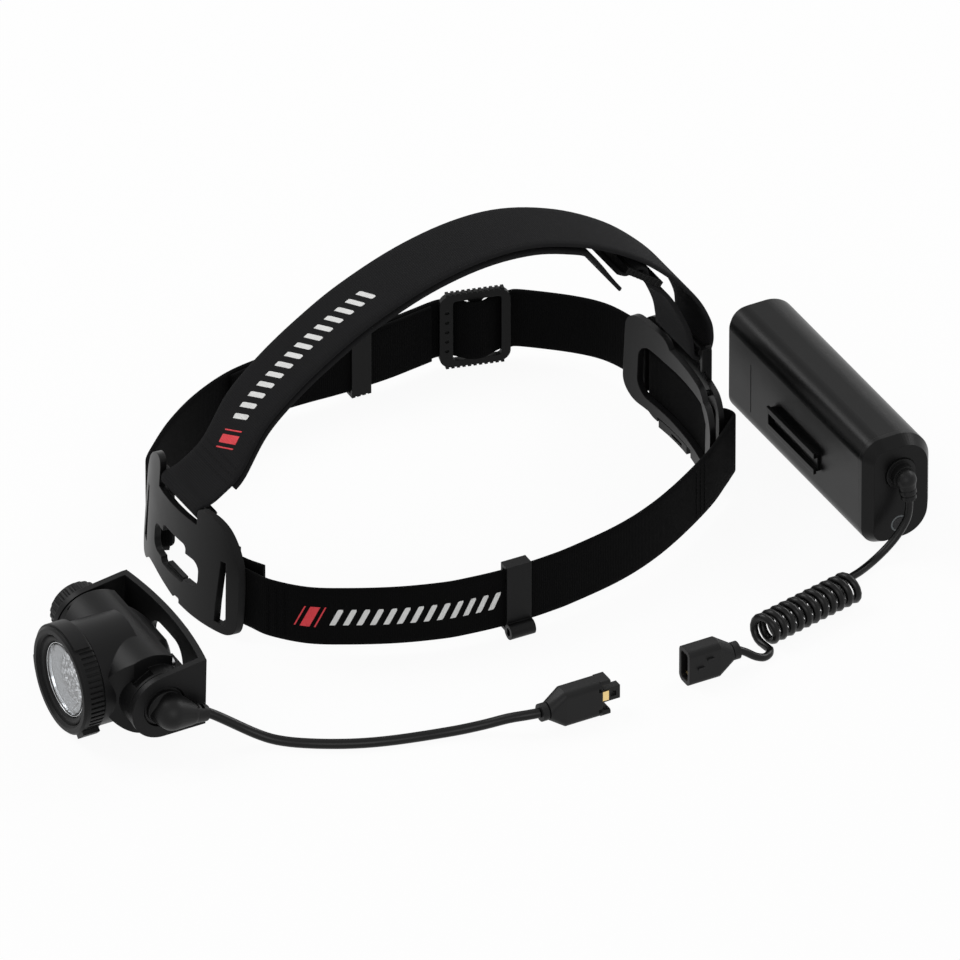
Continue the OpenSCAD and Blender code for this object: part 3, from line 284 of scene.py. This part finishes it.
def webbing(name, value, rib=0.8, half=12.5):
    """Ribbed elastic webbing: ribs across, fine threads along, and a plain selvage at both edges. Its colour is
    darker in the hollows between ribs and threads and lighter on their crests, which is painted shade and
    painted highlight, times random tone. It reads the strap's own UV map, in millimetres along and across."""
    n = Nodes(name)
    uv = n.add("ShaderNodeSeparateXYZ", {"Vector": n.add("ShaderNodeUVMap", uv_map="weave").outputs[0]})
    along, across = uv.outputs[0], uv.outputs[1]
    wobble = n.noise(n.place(), 260.0, 2.0)
    shift = n.math("MULTIPLY", n.math("SUBTRACT", wobble, 0.5), rib * 0.5)
    phase = n.math("MULTIPLY", n.math("ADD", along, shift), 2 * math.pi / rib)
    ribs = n.math("MULTIPLY_ADD", n.math("SINE", phase), 0.5, 0.5)
    thread_phase = n.math("MULTIPLY", across, 2 * math.pi / THREAD)
    thread_wave = n.math("SINE", n.math("ADD", thread_phase, n.math("MULTIPLY", ribs, 3.0)))
    threads = n.math("MULTIPLY_ADD", thread_wave, 0.5, 0.5)
    selvage = n.math("GREATER_THAN", n.math("ABSOLUTE", across), half - SELVAGE)
    height = n.math("MULTIPLY_ADD", threads, 0.35, ribs)
    kept = n.math("SUBTRACT", 1.0, n.math("MULTIPLY", selvage, 0.6))
    height = n.math("MULTIPLY_ADD", selvage, 0.5, n.math("MULTIPLY", height, kept))
    fuzz = n.noise(n.place(), 1500.0, 3.0, 0.7)
    patches = n.noise(n.place(), 60.0, 3.0)
    # Painted shade and highlight: the colour follows the rib and thread height, darker in the hollows and
    # lighter on the crests, times random patches and fuzz tone.
    painted_rib_shade_and_tone = n.math("MULTIPLY", n.spread(height, 0.55, 1.2), n.spread(patches, 0.8, 1.2))
    painted_rib_shade_and_tone = n.math("MULTIPLY", painted_rib_shade_and_tone, n.spread(fuzz, 0.7, 1.4))
    colour = n.mix(painted_rib_shade_and_tone, grey(value * 0.3), grey(value * 1.5))
    return n.finish(Base_Color=colour, Roughness=n.spread(fuzz, 0.72, 0.95), Specular_IOR_Level=WEBBING_SHEEN,
                    Normal=n.bump(n.math("MULTIPLY_ADD", fuzz, 0.3, height), 0.6, 0.00018))


def plain(name, colour, rough, **extra):
    """A smooth moulded finish with faint mottling."""
    n = Nodes(name)
    spots = n.noise(n.place(), 220.0, 4.0)
    low, high = tuple(c * 0.85 for c in colour), tuple(min(1.0, c * 1.1) for c in colour)
    return n.finish(Base_Color=n.mix(spots, (*low, 1), (*high, 1)),
                    Roughness=n.spread(spots, rough - 0.04, rough + 0.06),
                    Normal=n.bump(spots, 0.1, 0.00005, n.rounded_normal(0.0002)), **extra)


BLACK = 0.0036
SLOTS = {
    "cradle_plastic": plastic("cradle_plastic", BLACK, 0.42, worn=0.25),
    "head_plastic": plastic("head_plastic", BLACK * 1.2, 0.40, worn=0.2),
    "ring_plastic": plastic("ring_plastic", BLACK, 0.44, worn=0.25),
    "knob_plastic": plastic("knob_plastic", BLACK * 1.1, 0.42),
    "plate_plastic": plastic("plate_plastic", BLACK * 1.1, 0.38, worn=0.2),
    "frame_plastic": plastic("frame_plastic", BLACK * 1.1, 0.40, worn=0.2),
    "slider_plastic": plastic("slider_plastic", BLACK * 0.6, 0.42, bump=0.2),
    "clip_plastic": plastic("clip_plastic", BLACK * 1.2, 0.36),
    "case_plastic": plastic("case_plastic", BLACK * 0.6, 0.3, bump=0.3, edge=0.0003, worn=0.1),
    "cap_plastic": plastic("cap_plastic", BLACK * 0.9, 0.34, bump=0.2, worn=0.2),
    "switch_plastic": plastic("switch_plastic", 0.05, 0.5),
    "button_plastic": plastic("button_plastic", 0.03, 0.4),
    "boot_rubber": rubber("boot_rubber", BLACK * 0.8, 0.45),
    "lead_rubber": rubber("lead_rubber", BLACK * 0.55, 0.3, 0.12),
    "plug_rubber": rubber("plug_rubber", BLACK, 0.48),
    "cover_rubber": rubber("cover_rubber", BLACK * 0.8, 0.5),
    "seal_rubber": rubber("seal_rubber", 0.01, 0.5),
    "head_webbing": webbing("head_webbing", BLACK * 0.5),
    "top_webbing": webbing("top_webbing", BLACK * 2.9, half=14.0),
    "bare_aluminium": metal("bare_aluminium", (0.75, 0.76, 0.77), 0.3),
    "bright_carrier": metal("bright_carrier", (0.62, 0.63, 0.64), 0.14, bump=0.05),
    "screw_steel": metal("screw_steel", (0.55, 0.55, 0.56), 0.3),
    "shaft_steel": metal("shaft_steel", (0.6, 0.6, 0.61), 0.25, (20.0, 2000.0, 2000.0)),
    "washer_steel": metal("washer_steel", (0.5, 0.5, 0.5), 0.35),
    "socket_steel": metal("socket_steel", (0.65, 0.65, 0.66), 0.3),
    "nickel_strip": metal("nickel_strip", (0.66, 0.64, 0.6), 0.3),
    "brass_contacts": metal("brass_contacts", (0.85, 0.63, 0.28), 0.25),
    "emitter": plain("emitter", (0.93, 0.75, 0.18), 0.3),
    "emitter_board": plain("emitter_board", (0.8, 0.8, 0.76), 0.5),
    "green_board": plain("green_board", (0.02, 0.16, 0.07), 0.4),
    "cell_wrap": plain("cell_wrap", (0.06, 0.22, 0.1), 0.3),
    "light_ring": plain("light_ring", (0.1, 0.11, 0.115), 0.35, Subsurface_Weight=0.1),
}
glass = Nodes("lens_glass")
ripples = glass.noise(glass.place(), 240.0, 2.0)
SLOTS["lens_glass"] = glass.finish(Base_Color=(0.96, 0.98, 1.0, 1), Roughness=0.03, IOR=1.49,
                                   Transmission_Weight=1.0, Normal=glass.bump(ripples, 0.1, 0.0001))
dimpled = Nodes("dimpled_optic")
smoked = metal("smoked_optic", (0.16, 0.165, 0.17), 0.06, bump=0.03)
cells = dimpled.add("ShaderNodeTexVoronoi", {"Vector": dimpled.place(), "Scale": 800.0}).outputs["Distance"]
# Painted highlight and shade: each dimple's centre is coloured as a bright glint and the ridges between dimples
# nearly black, on top of the dimple bump.
dimpled.finish(Base_Color=dimpled.ramp(cells, [(0.12, 0.95), (0.42, 0.42), (0.6, 0.03)]), Metallic=1.0,
               Roughness=dimpled.spread(cells, 0.16, 0.3), Normal=dimpled.bump(cells, 0.9, 0.0006))
slot_of = {s["node"]: s["material_slot"] for s in frame["record"]["subparts"]}


def dress(obj, slot_name):
    obj.data.materials.clear()
    obj.data.materials.append(SLOTS[slot_name])
    return obj


for node_name, node in nodes.items():
    dress(node, slot_of[node_name])
for obj in (lamp_lead, pack_lead):
    dress(obj, "lead_rubber")

# ---------------------------------------------------------------- webbing


class Ribbon:
    """A flat strap along a line: a point of it by distance along, place across and height off its middle."""

    def __init__(self, line, width, thick, to_space):
        self.line, self.width, self.thick, self.to_space = line, width, thick, to_space
        self.far = [0.0]
        for a, b in zip(line, line[1:]):
            self.far.append(self.far[-1] + (b - a).length)

    def heading(self, i):
        a, b = self.line[max(0, i - 1)], self.line[min(len(self.line) - 1, i + 1)]
        return (b - a).normalized()

    def point(self, s, across, off):
        """s and across in millimetres; off to the left of the line."""
        s = max(0.0, min(self.far[-1], s))
        after = next((k for k, f in enumerate(self.far) if f > s), len(self.far) - 1)
        i = max(0, min(len(self.line) - 2, after - 1))
        t = (s - self.far[i]) / max(1e-9, self.far[i + 1] - self.far[i])
        p = self.line[i].lerp(self.line[i + 1], t)
        h = self.heading(i).lerp(self.heading(i + 1), t).normalized()
        return self.to_space(p.x - off * h.y, p.y + off * h.x, across)

    def section(self, edge=0.55, columns=10):
        """Outline across the strap as (across, off), counter-clockwise, with rounded edges."""
        w, t = self.width / 2, self.thick / 2
        half = [(-w + edge + (2 * w - 2 * edge) * k / columns, -t) for k in range(columns + 1)]
        half += [(w - edge * 0.3, -t * 0.75), (w, 0.0)]
        return half + [(-a, -o) for a, o in half]

    def mesh(self, name):
        outline = self.section()
        girth = [0.0]
        for a, b in zip(outline, outline[1:] + outline[:1]):
            girth.append(girth[-1] + math.dist(a, b))
        bm = bmesh.new()
        weave = bm.loops.layers.uv.new("weave")
        rings = []
        for i, p in enumerate(self.line):
            h = self.heading(i)
            rings.append([bm.verts.new(self.to_space(p.x - o * h.y, p.y + o * h.x, a)) for a, o in outline])
        count = len(outline)
        for i in range(len(rings) - 1):
            for k in range(count):
                j = (k + 1) % count
                face = bm.faces.new((rings[i][k], rings[i][j], rings[i + 1][j], rings[i + 1][k]))
                face.smooth = True
                for loop, (s, o) in zip(face.loops, ((i, k), (i, j), (i + 1, j), (i + 1, k))):
                    loop[weave].uv = (self.far[s], outline[o][0])
        bm.faces.new(list(reversed(rings[0])))
        bm.faces.new(rings[-1])
        return made(name, bm)

    def patch(self, name, outlines, off, thick):
        """Thin raised patches on the strap: each outline is a list of rows (along, low edge, high edge)."""
        bm = bmesh.new()
        for outline in outlines:
            for low, high in zip(outline, outline[1:]):
                corners = [(low[0], low[1]), (low[0], low[2]), (high[0], high[2]), (high[0], high[1])]
                bottom = [bm.verts.new(self.point(s, a, off)) for s, a in corners]
                top = [bm.verts.new(self.point(s, a, off + thick)) for s, a in corners]
                bm.faces.new(top)
                bm.faces.new(list(reversed(bottom)))
                for k in range(4):
                    j = (k + 1) % 4
                    bm.faces.new((bottom[k], bottom[j], top[j], top[k]))
        bmesh.ops.remove_doubles(bm, verts=bm.verts, dist=1e-7)
        return made(name, bm)


STRAP_T, STRAP_Z, STRAP_H, TOP_W, FIT = 1.6, 4.0, 25.0, 28.0, 0.3
CLIP_ARC_R, CLIP_ARC_AT = 150.0, (-70.3, -5.0)
SLIDER_AT, SLIDER_TURN = (-81.9, 62.2), math.radians(75.2)
TOP_SLIDER_AT, TOP_SLIDER_TURN = (79.6, 90.1), math.radians(-36.6)
FRONT_FACE, FRONT_ARC_R = -109.5, 80.0
FAR_RUN = [(-87.4, 45.5), (-86.4, 38), (-84.9, 25), (-84.5, 8), (-85.2, -10), (-84.8, -25), (-82.2, -41)]


def on_slider(along, inward):
    c, s = math.cos(SLIDER_TURN), math.sin(SLIDER_TURN)
    return SLIDER_AT[0] + along * c + inward * s, SLIDER_AT[1] + along * s - inward * c


def on_top_slider(along, outward):
    c, s = math.cos(TOP_SLIDER_TURN), math.sin(TOP_SLIDER_TURN)
    return TOP_SLIDER_AT[0] + along * c - outward * s, TOP_SLIDER_AT[1] + along * s + outward * c


def on_front(turn, inside):
    a, r = math.radians(turn), FRONT_ARC_R - inside
    return r * math.sin(a), FRONT_FACE + FRONT_ARC_R - r * math.cos(a)


def on_clip_arc(turn):
    a = math.radians(turn)
    return CLIP_ARC_AT[0] + CLIP_ARC_R * math.cos(a), CLIP_ARC_AT[1] + CLIP_ARC_R * math.sin(a)


PIN_LOOP = [
    (-31, 10.9), (-26, 10.7), (-22.4, 10.65), (-20.4, 9.7), (-20, 8.2), (-20.5, 6.7), (-22.4, 5.85),
    (-26, 5.8), (-29.5, 5.3)]
HEAD_PATH = [
    *[on_front(-t, i) for t, i in PIN_LOOP],
    (44.8, -91), (55.4, -81.5), (63.2, -68.8), (71, -52.4),
    *[on_clip_arc(a) for a in range(-12, 9, 4)],
    (74.4, 36), (68.6, 53), (60, 70), (47.6, 89.6),
    (38, 101.4), (34, 106), (31, 109.2), (28.6, 109.6), (26, 108.3), (25, 106.2), (23.2, 104.4),
    (20.5, 104.05), (10, 105.3), (-10, 105.3), (-20.5, 104.05), (-23.2, 104.4), (-25, 106.4), (-28, 108.6),
    (-34, 109), (-44, 107.2), (-56, 103), (-66.5, 94.6),
    *[on_slider(*p) for p in ((18, -1.8), (13.5, -2.3), (10.4, -2.3), (6.2, 0), (2.2, 2.3), (-1.8, 2.3),
                              (-5.2, 0), (-8.6, -2.3), (-13.5, -2.3))],
    *FAR_RUN, (-75, -58), (-65, -73.4), (-54.4, -85.6), (-45.2, -94),
    *[on_front(t, i) for t, i in reversed(PIN_LOOP)]]
TOP_PATH = [
    (-96.5, 41.8), (-99.3, 40.6), (-102.1, 40.5), (-104, 42.1), (-104.1, 44.5), (-102.5, 45.9), (-99.5, 46.4),
    (-95, 48.8), (-87, 55.4), (-77, 71.6), (-63.5, 84.2), (-48, 95), (-31, 104.4), (-8, 113), (15, 117.2),
    (36, 116.2), (58, 109), (78, 97.4), (93, 84), (103, 71.4), (108.4, 60.4), (109.6, 53.6),
    (109.1, 49), (107.5, 46), (104.6, 45), (101.9, 46.8), (101.4, 50.6), (100, 58), (95.6, 68.4),
    *[on_top_slider(*p) for p in ((17, -4), (12, -3.2), (8, -2.6), (5.6, -2), (3.7, 0), (1.6, 2), (0, 2.4),
                                  (-1.6, 2), (-3.6, 0), (-5.6, -2), (-7.6, -2.5), (-9.8, -2.7))]]
INNER_PATH = [
    (-89, 49.6), (-85, 54), (-75.6, 69.6), (-62.4, 81.8), (-47, 92.4), (-30.2, 101.6), (-7.5, 110.2),
    (15, 114.2), (35.4, 113.2), (52, 108.1), (58.4, 104.6), (62.4, 99.4), (66.2, 93.4), (68.8, 89.4), (71.2, 86)]


def upright(x, y, across):
    return at(x, y, STRAP_Z + STRAP_H / 2 + across)


def crosswise(y, z, across):
    return at(across, y, z)


def shifted(line, off):
    out = []
    for i, p in enumerate(line):
        h = (line[min(len(line) - 1, i + 1)] - line[max(0, i - 1)]).normalized()
        out.append(Vector((p.x - off * h.y, p.y + off * h.x)))
    return out


head = Ribbon(smooth(HEAD_PATH, 6), STRAP_H, STRAP_T, upright)
double = Ribbon(shifted(smooth(FAR_RUN, 6), STRAP_T + FIT), STRAP_H - 0.6, STRAP_T, upright)
top = Ribbon(smooth(TOP_PATH, 6), TOP_W, STRAP_T, crosswise)
under = Ribbon(smooth(INNER_PATH, 6), TOP_W, STRAP_T, crosswise)
for ribbon, name, slot_name, node in ((head, "head_band", "head_webbing", "head_strap"),
                                      (double, "head_band_double", "head_webbing", "head_strap_return"),
                                      (top, "crown_band", "top_webbing", "top_strap_outer"),
                                      (under, "crown_band_return", "top_webbing", "top_strap_inner")):
    piece = dress(ribbon.mesh(name), slot_name)
    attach(piece, "headband")
    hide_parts(node)


def reach(ribbon, x, y):
    """Distance along a ribbon's line to its point nearest to a place."""
    k = min(range(len(ribbon.line)), key=lambda i: (ribbon.line[i] - Vector((x, y))).length)
    return ribbon.far[k]


def slanted(start, wide, low, high, lean=3.2, step=0.5):
    """A slanted bar across a strap as rows of (along, low edge, high edge)."""
    rows, s, tall = [], start, high - low
    while s <= start + wide + lean + 1e-6:
        foot = low + tall * max(0.0, s - start - wide) / lean
        rows.append((s, foot, low + tall * min(1.0, max(0.0, s - start) / lean)))
        s += step
    return rows


def marked(ribbon, name, first, bars, half, off, lift):
    """Plain white slanted bars after one red bar between two thin red lines."""
    white = [slanted(first + WHITE_FROM + k * BAR_GAP, BAR_W, -half, half) for k in range(bars)]
    red = [slanted(first + along, wide, -half - 1, half + 1, RED_LEAN, step) for along, wide, step in RED_ROWS]
    for suffix, outlines in (("white", white), ("red", red)):
        piece = ribbon.patch(f"{name}_{suffix}", outlines, off, lift)
        piece.data.materials.append(PRINTS[suffix])
        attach(piece, "headband")


WHITE_FROM, BAR_GAP, BAR_W = 13, 4.9, 2.2
RED_LEAN, RED_ROWS = 4.0, ((2.2, 3.6, 0.4), (0.0, 0.6, 0.3), (7.4, 0.6, 0.3))
SUNK, PRINT_T, STITCH_T = 0.02, 0.1, 0.22
PRINTS = {"white": plain("print_white", (0.80, 0.80, 0.79), 0.55),
          "red": plain("print_red", (0.78, 0.035, 0.05), 0.5)}
marked(head, "side_marks", reach(head, 51.2, -85.6), 13, 3.4, -STRAP_T / 2 + SUNK, -PRINT_T)
marked(top, "crown_marks", reach(top, -87, 55.4) + 1, 14, 3.6, STRAP_T / 2 - SUNK, PRINT_T)


STITCH_L, STITCH_W, STITCH_ROW, STITCH_EDGE, STITCH_ROWS = 1.1, 0.35, 3.2, 2.2, 3


def stitches(ribbon, name, first, count, off, lift):
    """Lines of short sewn stitches across a strap."""
    out = []
    for row in range(STITCH_ROWS):
        s = first + STITCH_ROW * row
        for k in range(count):
            a = -ribbon.width / 2 + STITCH_EDGE + k * (ribbon.width - 2 * STITCH_EDGE) / count
            out.append([(s, a, a + STITCH_L), (s + STITCH_W, a, a + STITCH_L)])
    piece = dress(ribbon.patch(name, out, off, lift), "head_webbing" if ribbon is head else "top_webbing")
    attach(piece, "headband")


stitches(head, "near_stitches", reach(head, 40, -94) + 4, 12, -STRAP_T / 2 + SUNK, -STITCH_T)
stitches(head, "rear_stitches", reach(head, 60, 70) + 12, 12, -STRAP_T / 2 + SUNK, -STITCH_T)
stitches(top, "crown_stitches", reach(top, -87, 55.4) - 6, 13, STRAP_T / 2 - SUNK, STITCH_T)

# ---------------------------------------------------------------- lamp: optics behind the lens, bezel, boot skin
LAMP_PIVOT, LAMP_ROLL = (55.2, -156.8, 20.5), math.radians(2.5)


def in_lamp(x, ahead, z):
    """Millimetres from the lamp's pivot, along its own axes: right, ahead and up."""
    c, s = math.cos(LAMP_ROLL), math.sin(LAMP_ROLL)
    return at(LAMP_PIVOT[0] + c * x + s * z, LAMP_PIVOT[1] - ahead, LAMP_PIVOT[2] - s * x + c * z)


def on_circle(rad, ahead, part, sides):
    """A point of a circle about the lamp's middle line, part of its sides round."""
    a = 2 * math.pi * part / sides
    return in_lamp(rad * math.cos(a), ahead, rad * math.sin(a))


OPTIC_WALL = 0.3


def facets(name, sides, profile, slot_name, dark=()):
    """A many-sided cone inside the carrier from (radius, ahead) pairs; the dark sides of its last band take the
    ring's plastic."""
    bm = bmesh.new()
    grid = [[bm.verts.new(on_circle(rad, far, k + 0.5, sides)) for k in range(sides)] for rad, far in profile]
    for j, (low, high) in enumerate(zip(grid, grid[1:])):
        for k in range(sides):
            n = (k + 1) % sides
            face = bm.faces.new((low[k], high[k], high[n], low[n]))
            face.material_index = int(j == len(profile) - 2 and k in dark)
    piece = dress(made(name, bm), slot_name)
    piece.data.materials.append(SLOTS["ring_plastic"])
    wall = piece.modifiers.new("wall", "SOLIDIFY")
    wall.thickness, wall.offset = OPTIC_WALL * MM, 0.0
    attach(piece, "lens_carrier")
    return piece


BOWL = [(4.4, 9.7), (9.3, 16.6), (9.9, 19.3), (13.0, 21.5)]
DOME = [(0.05, 21.3), (3.4, 21.1), (6.6, 20.5), (9.8, 19.5)]
bowl = facets("optic_bowl", 12, BOWL, "bright_carrier", (2, 3, 8, 9))
dome = facets("optic_dome", 48, DOME, "bright_carrier")
dome.data.materials[0] = dimpled.mat
bowl.data.materials[0] = smoked


def turned(name, profile, slot_name, steps=96):
    """A ring turned about the lamp's own middle line from a closed profile of (radius, ahead)."""
    bm = bmesh.new()
    rings = [[bm.verts.new(on_circle(rad, far, k, steps)) for rad, far in profile] for k in range(steps)]
    for here, ahead in zip(rings, rings[1:] + rings[:1]):
        for j in range(len(profile)):
            i = (j + 1) % len(profile)
            bm.faces.new((here[j], here[i], ahead[i], ahead[j])).smooth = True
    piece = dress(made(name, bm), slot_name)
    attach(piece, "lens_carrier")


BEZEL = [(14.2, 24.25), (15.3, 24.25), (15.35, 24.85), (16.6, 24.85), (16.9, 26.0), (14.6, 25.0)]
EDGE_WIRE = [(13.85, 24.25), (14.15, 24.25), (14.15, 24.6), (13.85, 24.6)]
turned("lens_bezel", BEZEL, "ring_plastic")
turned("lens_edge_wire", EDGE_WIRE, "bright_carrier")


def teardrop(name, balls, disc):
    """The smooth rubber skin of the lamp's strain relief, drawn tight round balls (x, back, z, radius) and a
    disc (x, radius)."""
    bm = bmesh.new()
    for x, back, z, rad in balls:
        for i in range(1, 24):
            for k in range(48):
                a, b = math.pi * i / 24, 2 * math.pi * k / 48
                bm.verts.new(in_lamp(x + rad * math.cos(a), -(back + rad * math.sin(a) * math.cos(b)),
                                     z + rad * math.sin(a) * math.sin(b)))
    for k in range(96):
        b = 2 * math.pi * k / 96
        bm.verts.new(in_lamp(disc[0], -disc[1] * math.cos(b), disc[1] * math.sin(b)))
    bmesh.ops.convex_hull(bm, input=bm.verts)
    bmesh.ops.delete(bm, geom=[v for v in bm.verts if not v.link_faces], context="VERTS")
    bmesh.ops.recalc_face_normals(bm, faces=bm.faces)
    for face in bm.faces:
        face.smooth = abs(face.normal.x) < 0.995
    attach(dress(made(name, bm), "boot_rubber"), "lamp_cradle")


teardrop("lamp_boot_skin", [(34.9, 0.9, -0.65, 6.35), (35.7, 7.6, -2.6, 4.25)], (30.2, 7.1))

# ---------------------------------------------------------------- floor and light
FLOOR_HALF, FLOOR_DROP, FLOOR_GREY, FLOOR_GLOW = 6.0, 0.00005, 0.85, 0.94
WORLD_LEVEL, WORLD_SEEN = 0.3, 1.0
floor_mesh = bpy.data.meshes.new("floor")
corners = [(FLOOR_HALF * x, FLOOR_HALF * y, 0) for x, y in ((-1, -1), (1, -1), (1, 1), (-1, 1))]
floor_mesh.from_pydata(corners, [], [(0, 1, 2, 3)])
floor = link(bpy.data.objects.new("floor", floor_mesh))
floor.location.z = -FLOOR_DROP
ground = Nodes("floor_white")
path = ground.add("ShaderNodeLightPath")
seen = ground.math("MAXIMUM", path.outputs["Is Camera Ray"], path.outputs["Is Transmission Ray"])
seen = ground.math("MAXIMUM", seen, path.outputs["Is Glossy Ray"])
glow = ground.add("ShaderNodeEmission", {"Color": (1, 1, 1, 1), "Strength": 1.0})
matt = ground.add("ShaderNodeBsdfDiffuse", {"Color": (FLOOR_GREY, FLOOR_GREY, FLOOR_GREY, 1)})
share = ground.math("MULTIPLY", seen, FLOOR_GLOW)
blend = ground.add("ShaderNodeMixShader", {0: share, 1: matt.outputs[0], 2: glow.outputs[0]})
ground.tree.links.new(blend.outputs[0], ground.tree.nodes["Material Output"].inputs[0])
floor_mesh.materials.append(ground.mat)

world = bpy.data.worlds.new("studio")
scene.world = world
world.use_nodes = True
wt = world.node_tree
ray = wt.nodes.new("ShaderNodeLightPath")
shown = ray.outputs["Is Camera Ray"]
for kind in ("Is Glossy Ray", "Is Transmission Ray"):
    either = wt.nodes.new("ShaderNodeMath")
    either.operation = "MAXIMUM"
    wt.links.new(shown, either.inputs[0])
    wt.links.new(ray.outputs[kind], either.inputs[1])
    shown = either.outputs[0]
level = wt.nodes.new("ShaderNodeMapRange")
level.inputs["To Min"].default_value, level.inputs["To Max"].default_value = WORLD_LEVEL, WORLD_SEEN
wt.links.new(shown, level.inputs["Value"])
wt.links.new(level.outputs[0], wt.nodes["Background"].inputs["Strength"])
wt.nodes["Background"].inputs["Color"].default_value = (1, 1, 1, 1)


def softbox(name, place, aim, size, power):
    data = bpy.data.lights.new(name, "AREA")
    data.shape, data.size, data.size_y, data.energy = "RECTANGLE", size[0], size[1], power
    lamp = link(bpy.data.objects.new(name, data))
    lamp.location = place
    lamp.rotation_euler = (Vector(aim) - Vector(place)).to_track_quat("-Z", "Y").to_euler()


softbox("key", (-0.9, -0.7, 1.3), (0, 0, 0.03), (0.9, 0.9), 14)
softbox("fill", (1.3, -0.5, 0.8), (0, 0, 0.03), (1.0, 0.8), 6)
softbox("rim", (-0.4, 1.3, 0.9), (0, 0.05, 0.03), (1.2, 0.4), 10)

bpy.context.view_layer.update()
